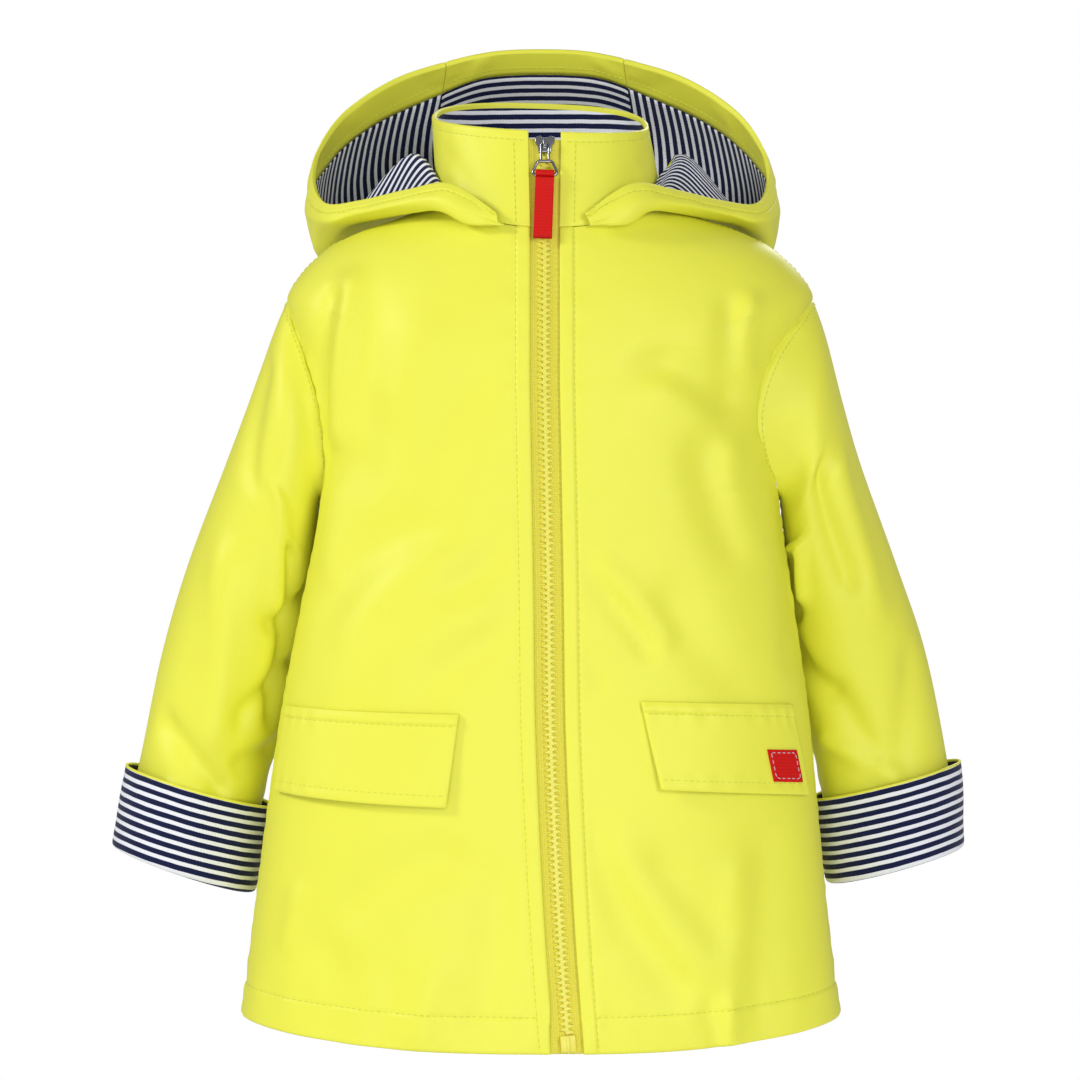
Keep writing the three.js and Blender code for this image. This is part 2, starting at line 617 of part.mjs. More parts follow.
const collarFrom = -zipTurn(ZIP_HALF_GAP, -1);
const collarTo = zipTurn(ZIP_HALF_GAP, 1);
add("collar", wall({
  point: collarPoint,
  us: lines(collarFrom, collarTo, COLLAR_AROUND),
  vs: [0, 0.35, 0.7, COLLAR_EDGE, COLLAR_EDGE + 0.015, 1],
  outward: -1,
  outer: () => 0,
  inner: (_, line) => (line >= 4 ? -(SHELL + LAYER_GAP + LINING) : -SHELL),
  trim: { v0: SEAM_GAP / 2 },
}), "shell");
const liningInset = 14;
add("collar_lining", wall({
  point: collarPoint,
  us: lines(-zipTurn(liningInset, -1), zipTurn(liningInset, 1), COLLAR_AROUND),
  vs: [0, 0.35, 0.7, COLLAR_EDGE - 0.012],
  outward: -1,
  outer: () => -(SHELL + LAYER_GAP),
  inner: () => -(SHELL + LAYER_GAP + LINING),
  trim: { v0: SEAM_GAP / 2 },
  swap: true,
}), "lining");

// The hood. place runs over its rows from the wearer's right round the back to the left, and
// down is the distance in millimetres from the rim, or a part of the whole below the band.
const hoodRows = [
  ...HOOD_ROWS.map((row) => ({ ...row, side: -1 })).reverse(),
  ...HOOD_ROWS.slice(1).map((row) => ({ ...row, side: 1 })),
];
const HOOD_MIDDLE = HOOD_ROWS.length - 1;

const hoodControls = hoodRows.map((row) => {
  const turn = THREE.MathUtils.degToRad(row.neck);
  const seat = neckRing(row.side, turn);
  const further = neckRing(row.side, turn).sub(new THREE.Vector3(0, BODY.middle[NECK_ROW], 0));
  further.z = 0;
  seat.addScaledVector(further.normalize(), row.out);
  seat.z += HOOD_LIFT;
  const shaped = ["rim", "wall", "fold", "floor"].map((name) => {
    const [x, y, z] = row[name];
    return new THREE.Vector3(row.side * x + HOOD_SKEW[name], y, z);
  });
  return [...shaped, seat];
});

function hoodSection(place) {
  return hoodControls[0].map((_, k) => new THREE.Vector3(
    spline(hoodControls.map((row) => row[k].x), place),
    spline(hoodControls.map((row) => row[k].y), place),
    spline(hoodControls.map((row) => row[k].z), place),
  ));
}

// down is 0 at the rim, 1 at the foot of the band, 2 at the wall, then 3 fold, 4 floor and 5
// at the neck seam. Up to JUST_BELOW it counts millimetres from the band as thousandths.
const JUST_BELOW = 1.2;
function hoodPoint(place, down) {
  const points = hoodSection(place);
  const length = points[0].distanceTo(points[1]);
  const band = Math.min(HOOD_BAND / length, 0.5);
  let at = down - 1;
  if (down < 1) at = band * down;
  else if (down < JUST_BELOW) at = band + ((down - 1) * 1000) / length;
  else if (down < 2) at = band + (1 - band) * (down - 1);
  return new THREE.Vector3(
    spline(points.map((p) => p.x), at),
    spline(points.map((p) => p.y), at),
    spline(points.map((p) => p.z), at),
  );
}

const hoodPanels = [
  { key: "right", from: 0, to: HOOD_SEAMS.right },
  { key: "centre", from: HOOD_SEAMS.right, to: HOOD_SEAMS.left },
  { key: "left", from: HOOD_SEAMS.left, to: 2 * HOOD_MIDDLE },
];
const HOOD_STEPS = 2;
const HOOD_LINING_TOP = 1.002;
const HOOD_DOWN = [2, 2.5, 3, 3.5, 4, 4.5, 5];
for (const panel of hoodPanels) {
  const us = lines(panel.from, panel.to, Math.ceil((panel.to - panel.from) * HOOD_STEPS));
  const trim = {
    u0: panel.from > 0 ? SEAM_GAP / 2 : 0,
    u1: panel.to < 2 * HOOD_MIDDLE ? SEAM_GAP / 2 : 0,
  };
  add(`hood_${panel.key}`, wall({
    point: hoodPoint,
    us,
    vs: [0, 0.5, 1, 1.0001, HOOD_LINING_TOP, ...HOOD_DOWN],
    outward: 1,
    outer: () => 0,
    inner: (_, line) => (line <= 2 ? -(HOOD_SHELL + HOOD_LAYER_GAP + LINING) : -HOOD_SHELL),
    trim,
  }), "shellTop");
  add(`hood_lining_${panel.key}`, wall({
    point: hoodPoint,
    us,
    vs: [HOOD_LINING_TOP, ...HOOD_DOWN],
    outward: 1,
    outer: () => -(HOOD_SHELL + HOOD_LAYER_GAP),
    inner: () => -(HOOD_SHELL + HOOD_LAYER_GAP + LINING),
    trim,
    swap: true,
  }), "lining");
}

// The zip runs up the fronts and the collar. line is a body row up to the neck seam, and
// goes on to one more at the collar's top edge.
function zipPoint(fromZip, line) {
  const row = Math.min(line, NECK_ROW);
  const x = fromZip + spline(BODY.zip, row);
  const side = x < 0 ? -1 : 1;
  const turn = turnAt(side, x, row);
  if (line <= NECK_ROW) return bodyPoint(side, turn, line);
  return collarPoint(side * (Math.PI - turn), line - NECK_ROW);
}

const ZIP_LINES = [...BODY_LINES.slice(0, -1), 11.6, 12, 12.35, 12.7, 12.92];
for (const side of SIDES) {
  add(`zip_tape_${side.key}`, wall({
    point: zipPoint,
    us: [side.x * 0.2, side.x * 5, side.x * TAPE_HALF],
    vs: ZIP_LINES,
    outward: 1,
    outer: () => -TAPE_BACK,
    inner: () => -(TAPE_BACK + TAPE_WALL),
  }), "tape");
}
const { chainFoot, chainTop } = ZIP_BOX;
const chainLines = ZIP_LINES.filter((line) => line > chainFoot && line < chainTop);
add("zip_chain", wall({
  point: zipPoint,
  us: [-CHAIN_HALF, 0, CHAIN_HALF],
  vs: [chainFoot, ...chainLines, chainTop],
  outward: 1,
  outer: () => CHAIN_FRONT,
  inner: () => CHAIN_BACK,
}), "teeth");
add("zip_box", wall({
  point: zipPoint,
  us: [-ZIP_BOX.wide / 2, ZIP_BOX.wide / 2],
  vs: [ZIP_BOX.foot, ZIP_BOX.top],
  outward: 1,
  outer: () => ZIP_BOX.front,
  inner: () => CHAIN_BACK,
}), "teeth");

// Slider, pull and tab are drawn upright on a plane, then leaned onto the collar's front.
const sliderPlace = new THREE.Matrix4()
  .makeRotationX(QUARTER - SLIDER_TURN)
  .setPosition(BODY.zip[NECK_ROW], SLIDER.y, SLIDER.z);

function plate(outline, holes, wallSize, from) {
  const shape = new THREE.Shape(outline);
  holes.forEach((hole) => shape.holes.push(new THREE.Path(hole.reverse())));
  const geometry = new THREE.ExtrudeGeometry(shape, { depth: wallSize, bevelEnabled: false });
  geometry.translate(0, 0, from);
  return geometry;
}

function welded(geometry) {
  geometry.deleteAttribute("normal");
  geometry.deleteAttribute("uv");
  return mergeVertices(geometry, 1e-4);
}

const point2 = (x, y) => new THREE.Vector2(x, y);
const halfWide = SLIDER.wide / 2;
const halfTall = SLIDER.tall / 2;
const sliderOutline = [
  point2(-halfWide * 0.62, -halfTall), point2(halfWide * 0.62, -halfTall),
  point2(halfWide * 0.74, -halfTall * 0.2), point2(halfWide, halfTall * 0.25),
  point2(halfWide, halfTall * 0.8), point2(halfWide * 0.6, halfTall),
  point2(halfWide * 0.12, halfTall * 0.72), point2(-halfWide * 0.12, halfTall * 0.72),
  point2(-halfWide * 0.6, halfTall), point2(-halfWide, halfTall * 0.8),
  point2(-halfWide, halfTall * 0.25), point2(-halfWide * 0.74, -halfTall * 0.2),
];
const sliderPlate = plate(sliderOutline, [], SLIDER.wall, SLIDER.lift - SLIDER.wall);
const axisOut = SLIDER.lift + BRIDGE.room + 0.25;
const barIn = axisOut + BRIDGE.room;
const barOut = barIn + BRIDGE.bar;
const bridgeFoot = SLIDER.lift - BRIDGE.sunk;
const bridgeEdge = BRIDGE.half - BRIDGE.corner;
const bridgeOutline = [
  point2(-BRIDGE.half, bridgeFoot), point2(-BRIDGE.inner, bridgeFoot),
  point2(-BRIDGE.inner, barIn), point2(BRIDGE.inner, barIn),
  point2(BRIDGE.inner, bridgeFoot), point2(BRIDGE.half, bridgeFoot),
  point2(BRIDGE.half, barOut - BRIDGE.corner), point2(bridgeEdge, barOut),
  point2(-bridgeEdge, barOut), point2(-BRIDGE.half, barOut - BRIDGE.corner),
];
const bridge = plate(bridgeOutline, [], BRIDGE.wide, -BRIDGE.wide / 2);
bridge.applyMatrix4(new THREE.Matrix4().makeBasis(
  new THREE.Vector3(0, 1, 0), new THREE.Vector3(0, 0, 1), new THREE.Vector3(1, 0, 0)));
const sliderSolid = geometryOf(manifoldOf(welded(sliderPlate)).add(manifoldOf(welded(bridge))));
sliderSolid.applyMatrix4(sliderPlace);
add("zip_slider", sliderSolid, "steel");

// The pull: a bar through the bridge, two arms, a neck, and a frame that widens downward.
const mirrored = (halfOutline) => [
  ...halfOutline.map(([x, y]) => point2(x, y)),
  ...halfOutline.map(([x, y]) => point2(-x, y)).reverse(),
];
const { wire, barHalf, topHalf, endHalf } = PULL;
const armOut = BRIDGE.wide / 2 + PULL.eyeRoom + PULL.arm;
const frameTop = -PULL.frameTop;
const frameEnd = -PULL.frameEnd;
const cornerY = frameEnd + PULL.corner;
const pullOutline = mirrored([
  [armOut, barHalf], [armOut, frameTop], [topHalf, frameTop], [endHalf, cornerY],
  [endHalf - PULL.corner / 2, frameEnd],
]);
const eye = mirrored([[armOut - PULL.arm, -barHalf], [armOut - PULL.arm, -PULL.eye]]);
const frameHole = mirrored([
  [topHalf - wire, frameTop - wire], [endHalf - wire, cornerY],
  [endHalf - wire - PULL.corner / 4, frameEnd + wire],
]);
const pullSolid = welded(plate(pullOutline, [eye, frameHole], PULL.wall, -PULL.wall / 2));
pullSolid.translate(0, 0, axisOut);
pullSolid.applyMatrix4(sliderPlace);
add("zip_pull", pullSolid, "steel");

// The webbing tab is looped round the frame's lower wire, and drawn from the side.
const loopY = frameEnd + wire / 2;
const loopFoot = loopY - TAB.loopFoot;
const loopSide = loopY - TAB.layer;
const loopOut = TAB.loop + TAB.layer;
const tabShape = new THREE.Shape();
tabShape.moveTo(-TAB.layer, -TAB.end);
tabShape.lineTo(TAB.layer, -TAB.end);
tabShape.lineTo(TAB.layer, loopFoot);
tabShape.lineTo(loopOut, loopSide);
tabShape.absarc(0, loopY, loopOut, 0, Math.PI, false);
tabShape.lineTo(-loopOut, loopSide);
tabShape.lineTo(-TAB.layer, loopFoot);
tabShape.closePath();
const tabHole = new THREE.Path();
tabHole.absarc(0, loopY, TAB.loop, 0, 2 * Math.PI, true);
tabShape.holes.push(tabHole);
const tabGeometry = new THREE.ExtrudeGeometry(tabShape, {
  depth: TAB.wide, bevelEnabled: false, curveSegments: 6,
});
tabGeometry.translate(0, 0, -TAB.wide / 2);
tabGeometry.applyMatrix4(new THREE.Matrix4().makeBasis(
  new THREE.Vector3(0, 0, 1), new THREE.Vector3(0, 1, 0), new THREE.Vector3(-1, 0, 0)));
const tabSolid = welded(tabGeometry);
tabSolid.translate(0, -loopY, 0);
tabSolid.rotateZ(-TAB.tilt);
tabSolid.translate(0, loopY, axisOut);
tabSolid.applyMatrix4(sliderPlace);
add("pull_tab", tabSolid, "webbing");

// Pocket flaps: made from the front's own points, moved out, hanging free at their foot.
function flapSurface(side, across, down) {
  const { top, foot } = FLAP_CORNERS[side.key];
  const blend = (name) => THREE.MathUtils.lerp(
    THREE.MathUtils.lerp(top[0][name], top[1][name], across),
    THREE.MathUtils.lerp(foot[0][name], foot[1][name], across),
    down,
  );
  const row = blend("row");
  const start = frontTurn(side, 0, row);
  const end = frontTurn(side, 1, row);
  const turn = THREE.MathUtils.degToRad(blend("turn"));
  return frontPoint(side, (turn - start) / (end - start), row);
}

for (const side of SIDES) {
  add(`flap_${side.key}`, wall({
    point: (u, v) => flapSurface(side, u, v),
    us: lines(0, 1, FLAP_ACROSS),
    vs: column(FLAP_STAGES, "down"),
    outward: -side.x,
    outer: (_, line) => FLAP_STAGES[line].outer,
    inner: (_, line) => FLAP_STAGES[line].inner,
  }), "shellTop");
}

// The woven label, on the wearer's left flap near its outer end.
const labelSide = SIDES[1];
const flapFace = (down) => {
  const after = FLAP_STAGES.findIndex((stage) => stage.down >= down);
  const low = FLAP_STAGES[after - 1];
  const high = FLAP_STAGES[after];
  const part = (down - low.down) / (high.down - low.down);
  return low.outer + (high.outer - low.outer) * part;
};
const labelDown = [LABEL.top, (LABEL.top + LABEL.bottom) / 2, LABEL.bottom];
add("label", wall({
  point: (u, v) => flapSurface(labelSide, u, v),
  us: lines(LABEL.from, LABEL.to, 2),
  vs: labelDown,
  outward: -labelSide.x,
  outer: (_, line) => flapFace(labelDown[line]) + LABEL.lift + LABEL.wall,
  inner: (_, line) => flapFace(labelDown[line]) + LABEL.lift,
}), "webbing");

export default raincoat;
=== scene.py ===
# A child's hooded raincoat of coated cloth, zipped up and filled out as if it were worn. It is
# put together here in the order in which it is sewn: body, sleeves and cuffs, stand collar,
# hood, zip, pocket flaps. Its surfaces are worked out in millimetres and set down in metres.
import math
from functools import partial

import bmesh
import bpy
import numpy as np
from mathutils import Matrix, Vector


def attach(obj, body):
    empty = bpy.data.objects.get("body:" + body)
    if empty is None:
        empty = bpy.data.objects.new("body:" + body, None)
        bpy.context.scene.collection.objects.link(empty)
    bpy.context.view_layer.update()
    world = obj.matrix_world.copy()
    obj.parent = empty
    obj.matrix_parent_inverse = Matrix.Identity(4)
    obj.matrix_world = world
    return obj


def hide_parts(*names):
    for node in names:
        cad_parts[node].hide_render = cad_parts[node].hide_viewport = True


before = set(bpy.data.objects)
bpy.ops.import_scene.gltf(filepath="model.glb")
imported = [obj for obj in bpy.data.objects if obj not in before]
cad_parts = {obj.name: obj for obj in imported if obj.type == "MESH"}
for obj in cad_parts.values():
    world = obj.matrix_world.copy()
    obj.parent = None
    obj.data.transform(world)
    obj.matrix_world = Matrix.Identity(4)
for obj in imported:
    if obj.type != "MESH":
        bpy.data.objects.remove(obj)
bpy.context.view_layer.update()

# The body: two fronts and a back of polyester cloth with a polyurethane film, cut wider
# towards the hem and sewn at the sides and shoulders. The hem is turned up 20 mm and
# stitched, the edges beside the zip are folded under, and the inside is striped jersey.
MM = 0.001
QUARTER = math.pi / 2
RIGHT, LEFT = -1, 1  # the wearer's own sides, as directions along X
KEY = {RIGHT: "right", LEFT: "left"}

# Rings of the body from hem to neck seam, in millimetres.
RING_COLUMNS = ("z_front", "z_side", "z_back", "right", "left", "middle", "front", "back",
                "square", "zip")
RING_ROWS = [
    (-449, -436, -440, 168, 158, -12, -91, 90, 2.6, 9.8),
    (-385, -378, -380, 161, 151, -12, -90, 88, 2.6, 5),
    (-324, -320, -321, 153.5, 145.5, -12, -89, 86, 2.6, 1.8),
    (-270, -268, -268, 146, 140.5, -12, -87.5, 85, 2.6, -0.2),
    (-212, -210, -210, 135, 132.5, -12, -85.5, 84, 2.6, -0.9),
    (-157, -152, -153, 124.5, 124.5, -10, -83, 83, 2.5, -1.8),
    (-123, -112, -117, 129, 122, -7, -80.5, 82, 2.4, -2.4),
    (-96, -77, -87, 138, 131, -4, -78, 80, 2.3, -2.9),
    (-74, -47, -62, 144, 144, -2, -75.5, 77, 2.2, -2.9),
    (-57, -26, -41, 130, 130, -3, -73, 73, 2.15, -2.9),
    (-43, -12.5, -24, 110, 110, -4, -70, 68, 2.15, -2.9),
    (-28, -4, -8, 86, 86, -5, -66.5, 61, 2.2, -2.9),
    (-12, 5, 9, 62, 62, -5, -62, 52, 2.3, -2.9),
]
RING = {name: [row[k] for row in RING_ROWS] for k, name in enumerate(RING_COLUMNS)}
ARMPIT_ROW, SHOULDER_ROW, NECK_ROW = 5, 8, 12
ARMHOLE_CUT = {RIGHT: (17, 26), LEFT: (27, 26)}  # degrees into the front and the back
ZIP_HALF_GAP = 7.8
SHELL = 1.0
HEM_FOLD = 2.1
HEM_ROW = 0.3  # the ring row of the hem's stitches
HEM_STEP, NECK_STEP = 63, 17  # millimetres from ring to ring, at the hem and at the neck
FRONT_WIDE, BACK_WIDE = 190, 200
PLACKET = 7.7
STRIP = 14
STRIP_SHARE = 0.12
SEAM_DIP, SEAM_HALF, NECK_DIP, NECK_HALF = 0.9, 1.6, 0.35, 1.4

# Creases as soft ridges and troughs from (x, z) to (to_x, to_z): half width, how far they
# stand out, and how far the line bows to one side at its middle.
FRONT_CREASES = [
    (-106, -36, -113, -128, 8, 4.4, 3), (-116, -44, -124, -132, 6, -4.2, 3),
    (-94, -50, -100, -150, 12, -2.2, 0), (-60, -168, -124, -216, 15, -4, 7),
    (-52, -184, -112, -236, 13, 2.4, 7), (-22, -183, -54, -210, 9, -2.4, 0),
    (-30, -212, -118, -262, 13, 2.2, 5), (-14, -226, -70, -262, 10, -1.8, 4),
    (-44, -346, -106, -374, 15, -3.8, 4), (-52, -360, -112, -392, 12, 2.4, 4),
    (-100, -372, -130, -402, 12, -3.2, 0), (-134, -364, -140, -398, 6, 2.4, 0),
    (-60, -398, -72, -446, 12, 2.8, 0), (-80, -404, -92, -446, 9, -2, 0),
    (-112, -396, -118, -446, 12, -3, 0), (-22, -350, -34, -440, 12, -2.2, 3),
    (-34, -88, -62, -150, 14, -2.2, 6), (-62, -60, -84, -112, 13, 1.8, 4),
    (-116, -150, -120, -205, 8, 2.2, 0), (107, -48, 103, -92, 7, 3.8, 2),
    (98, -50, 97, -108, 8, -3.4, 0), (50, -82, 97, -118, 12, -3.4, -7),
    (54, -96, 100, -134, 10, 1.8, -6), (80, -126, 103, -190, 12, -3.2, 4),
    (94, -128, 112, -190, 9, 2.2, 3), (12, -190, 54, -240, 6, -3.2, -2),
    (24, -190, 63, -233, 7, 2.2, -2), (13, -236, 28, -257, 5, -2.2, 0),
    (60, -205, 108, -262, 13, -2.6, 5), (12, -332, 72, -420, 11, -4, 3),
    (32, -332, 86, -412, 12, 2.6, 3), (54, -346, 98, -392, 9, -1.8, 0),
    (116, -336, 110, -446, 12, -3.4, 0), (100, -350, 96, -440, 9, 2, 0),
    (84, -420, 88, -450, 4, -1.8, 0), (94, -420, 96, -450, 4, 1.8, 0),
    (130, -150, 131, -250, 8, -2.2, 0),
]
BACK_CREASES = [
    (4, -96, -10, -436, 12, -3.6, 8), (20, -120, 14, -440, 12, 2.2, 6),
    (-70, -226, -94, -444, 14, 4, -6), (-46, -240, -56, -444, 11, -3, 5),
    (-112, -250, -128, -444, 11, -2.6, 0), (76, -220, 97, -444, 14, 4, 6),
    (48, -250, 52, -444, 11, -3, 0), (118, -260, 132, -444, 11, -2.6, 0),
    (-100, -64, -56, -196, 11, -4, 8), (-112, -84, -76, -214, 10, 2.6, 8),
    (100, -64, 58, -186, 11, -4, -8), (112, -84, 76, -206, 10, 2.6, -8),
    (-28, -56, -52, -134, 10, -2.4, 4), (32, -56, 52, -124, 10, -2.4, -4),
    (-70, -140, 10, -168, 12, -2.4, -9), (-60, -158, 20, -186, 11, 1.8, -9),
    (80, -190, 20, -216, 12, -2.2, 6), (-112, -170, -120, -300, 10, 2.4, 0),
    (112, -180, 120, -310, 10, 2.4, 0),
]


def spline(values, at):
    """A smooth curve through evenly numbered values, read at the places in an array."""
    at = np.asarray(at, float)
    table = np.stack([np.broadcast_to(np.asarray(value, float), at.shape) for value in values])
    last = len(values) - 1
    low = np.clip(np.floor(at).astype(int), 0, last - 1)

    def pick(row):
        return np.take_along_axis(table, row[None], 0)[0]

    start, end = pick(low), pick(low + 1)
    before = np.where(low > 0, pick(np.maximum(low - 1, 0)), 2 * start - end)
    after = np.where(low + 2 <= last, pick(np.minimum(low + 2, last)), 2 * end - start)
    pull, push, gap, t = (end - before) / 2, (after - start) / 2, end - start, at - low
    return (start + pull * t + (3 * gap - 2 * pull - push) * t**2
            + (pull + push - 2 * gap) * t**3)


def ease(start, end, value):
    t = np.clip((value - start) / (end - start), 0, 1)
    return t * t * (3 - 2 * t)


def ridge(distance, half):
    return np.exp(-((distance / half) ** 2))


def crease_lift(creases, x, z):
    lift = np.zeros_like(x)
    for from_x, from_z, to_x, to_z, wide, height, bow in creases:
        run_x, run_z = to_x - from_x, to_z - from_z
        length = math.hypot(run_x, run_z)
        along = ((x - from_x) * run_x + (z - from_z) * run_z) / length
        across = ((x - from_x) * run_z - (z - from_z) * run_x) / length
        across = across - bow * (1 - (2 * along / length - 1) ** 2)
        ends = ease(-wide, wide, along) * (1 - ease(length - wide, length + wide, along))
        lift = lift + height * ends * ridge(across, wide)
    return lift


def puckers(along, from_seam, height, reach=9):
    """The small uneven waves that a seam draws into coated cloth."""
    wave = np.sin(along / 2.3 + 2.2 * np.sin(along / 17)) + 0.6 * np.sin(along / 4.1 + 1.3)
    return height * wave * ridge(from_seam, reach)


def half_and_power(side, row):
    half = np.where(np.asarray(side) < 0, spline(RING["right"], row), spline(RING["left"], row))
    return half, 2 / spline(RING["square"], row)


def body_point(side, turn, row):
    """The body's outer face: turn is 0 at the zip and pi at centre back."""
    half, power = half_and_power(side, row)
    sine, cosine = np.clip(np.sin(turn), 0, None), np.cos(turn)
    middle = spline(RING["middle"], row)
    reach = np.where(cosine > 0, spline(RING["front"], row), spline(RING["back"], row)) - middle
    z_end = np.where(cosine > 0, spline(RING["z_front"], row), spline(RING["z_back"], row))
    z = z_end + (spline(RING["z_side"], row) - z_end) * sine**2
    return np.stack([side * half * sine**power, middle + reach * np.abs(cosine) ** power, z], -1)


def turn_at(side, x, row):
    half, power = half_and_power(side, row)
    return np.arcsin(np.clip(np.clip(side * x, 0, None) / half, 0, 1) ** (1 / power))


def armhole_cut(degrees, row):
    middle, half = (SHOULDER_ROW + ARMPIT_ROW) / 2, (SHOULDER_ROW - ARMPIT_ROW) / 2
    return math.radians(degrees) * np.sqrt(np.clip(1 - ((row - middle) / half) ** 2, 0, None))


def normals_of(point, u, v):
    step = 2e-4
    across = point(u + step, v) - point(u - step, v)
    up = point(u, v + step) - point(u, v - step)
    normal = np.cross(across, up)
    return normal / np.maximum(np.linalg.norm(normal, axis=-1, keepdims=True), 1e-12)


def front_turn(side, u, row):
    """u runs from the zip edge, over a strip of fixed width, to the side seam."""
    edge = ZIP_HALF_GAP + STRIP * np.clip(u / STRIP_SHARE, None, 1)
    start = turn_at(side, side * edge + spline(RING["zip"], row), row)
    end = QUARTER - armhole_cut(ARMHOLE_CUT[side][0], row)
    return start + (end - start) * np.clip((u - STRIP_SHARE) / (1 - STRIP_SHARE), 0, None)


def front_clean(side, u, row):
    return body_point(side, front_turn(side, u, row), row)


def hem_finish(along, row, across_seam):
    """The turned-up hem stands out a little below its stitches, which pinch the cloth."""
    above = (row - HEM_ROW) * HEM_STEP
    return (0.5 * (1 - ease(-1, 1, above)) - 0.5 * ridge(above, 1.0)
            + puckers(along, above, 0.28) - 0.7 * ridge(row * HEM_STEP, 0.8)) * across_seam


def sewn_edges(x, z, row, to_seam):
    """How the side seam, the neck seam and the hem press the cloth in or out."""
    clear = ease(0, 3, to_seam)
    return (puckers(z * 1.2, to_seam, 0.35) * clear - SEAM_DIP * ridge(to_seam, SEAM_HALF)
            - NECK_DIP * ridge((NECK_ROW - row) * NECK_STEP, NECK_HALF)
            + hem_finish(x * 1.1, row, clear))


def front_point(side, u, row):
    base = front_clean(side, u, row)
    x, z = base[..., 0], base[..., 2]
    from_zip = side * (x - spline(RING["zip"], row)) - ZIP_HALF_GAP
    to_seam = (1 - u) * FRONT_WIDE
    quiet = (ease(6, 26, from_zip) * ease(2, 20, to_seam)
             * (1 - ease(NECK_ROW - 1.6, NECK_ROW - 0.3, row)))
    lift = crease_lift(FRONT_CREASES, x, z) * quiet
    lift += 0.5 * (1 - ease(PLACKET - 0.8, PLACKET + 0.8, from_zip))
    lift -= 0.5 * ridge(from_zip - PLACKET, 0.8) + 0.6 * ridge(from_zip, 0.5)
    lift += puckers(z, from_zip - PLACKET, 0.22, 7)
    lift += sewn_edges(x, z, row, to_seam)
    normal = normals_of(partial(front_clean, side), np.clip(u, 1e-3, 0.999), row)
    return base + normal * side * lift[..., None]


def back_clean(u, row):
    """u runs from the wearer's right seam, -1, to the left one, 1."""
    side = np.where(u < 0, RIGHT, LEFT)
    edge = QUARTER + armhole_cut(ARMHOLE_CUT[RIGHT][1], row)
    return body_point(side, math.pi - (math.pi - edge) * np.abs(u), row)


def back_point(u, row):
    base = back_clean(u, row)
    x, z = base[..., 0], base[..., 2]
    to_seam = (1 - np.abs(u)) * BACK_WIDE
    quiet = ease(2, 24, to_seam) * (1 - ease(NECK_ROW - 2.4, NECK_ROW - 0.8, row))
    lift = crease_lift(BACK_CREASES, x, z) * quiet
    lift += sewn_edges(x, z, row, to_seam)
    normal = normals_of(back_clean, np.clip(u, -0.999, 0.999), row)
    return base - normal * lift[..., None]


def stops(*stretches):
    """Grid lines: each stretch is its start, its end and its number of steps."""
    places = [np.linspace(start, end, steps, endpoint=False) for start, end, steps in stretches]
    return np.concatenate([*places, [stretches[-1][1]]])


def cloth(name, point, us, vs, outward, wall=SHELL, inside=False, stripes_along_v=False,
          thin_above=None):
    """A panel of cloth: a grid bent over point(u, v), with its cut laid out as its UV map."""
    u_count, v_count = len(us) - 1, len(vs) - 1
    u, v = np.meshgrid(us, vs, indexing="ij")
    place = point(u.ravel(), v.ravel()).reshape(*u.shape, 3) * MM
    run_u = np.linalg.norm(np.diff(place, axis=0), axis=-1)
    run_v = np.linalg.norm(np.diff(place, axis=1), axis=-1)
    cut_u = np.pad(np.cumsum(run_u, 0), ((1, 0), (0, 0)))
    cut_v = np.pad(np.cumsum(run_v, 1), ((0, 0), (1, 0)))
    panel = bmesh.new()
    layer = panel.loops.layers.uv.new("cut")
    bmesh.ops.create_grid(panel, x_segments=u_count, y_segments=v_count, size=0.5)
    at = {vert: (round((vert.co.x + 0.5) * u_count), round((vert.co.y + 0.5) * v_count))
          for vert in panel.verts}
    for vert, cell in at.items():
        vert.co = place[cell]
    for face in panel.faces:
        for loop in face.loops:
            cell = at[loop.vert]
            loop[layer].uv = ((cut_v[cell], cut_u[cell]) if stripes_along_v
                              else (cut_u[cell], cut_v[cell]))
    if outward < 0:
        bmesh.ops.reverse_faces(panel, faces=panel.faces)
    row_of = {vert.index: at[vert][1] for vert in panel.verts}
    bmesh.ops.remove_doubles(panel, verts=panel.verts, dist=1e-6)
    piece = finish(name, panel)
    solid = piece.modifiers.new("wall", "SOLIDIFY")
    solid.thickness = wall * MM
    solid.offset = -1
    solid.use_even_offset = False
    if thin_above is not None:
        lower = piece.vertex_groups.new(name="turned_up")
        for index, row in row_of.items():
            lower.add([index], 1 if vs[row] <= thin_above else SHELL / wall, "REPLACE")
        solid.vertex_group = lower.name
    if inside:
        solid.material_offset = 1
    piece["cut"] = [float(cut_u[-1].max()), float(cut_v[:, -1].max()),
                    float((run_u[:, :-1] * run_v[:-1]).sum())]
    return piece


def finish(name, shape, smooth=True):
    mesh = bpy.data.meshes.new(name)
    shape.to_mesh(mesh)
    shape.free()
    mesh.polygons.foreach_set("use_smooth", [smooth] * len(mesh.polygons))
    piece = bpy.data.objects.new(name, mesh)
    bpy.context.scene.collection.objects.link(piece)
    return piece


def dress(piece, body, slot, *materials, replaces=()):
    """Materials, the body that carries the piece and the nodes that it stands for; the slot is not
    used.
    """
    for material in materials:
        piece.data.materials.append(material)
    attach(piece, body)
    if replaces:
        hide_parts(*replaces)
    return piece


def linear(code):
    """An sRGB colour such as "#E2E75B" as the linear values that a shader takes."""
    parts = [int(code[k:k + 2], 16) / 255 for k in (1, 3, 5)]
    return [*(c / 12.92 if c <= 0.04045 else ((c + 0.055) / 1.055) ** 2.4 for c in parts), 1]


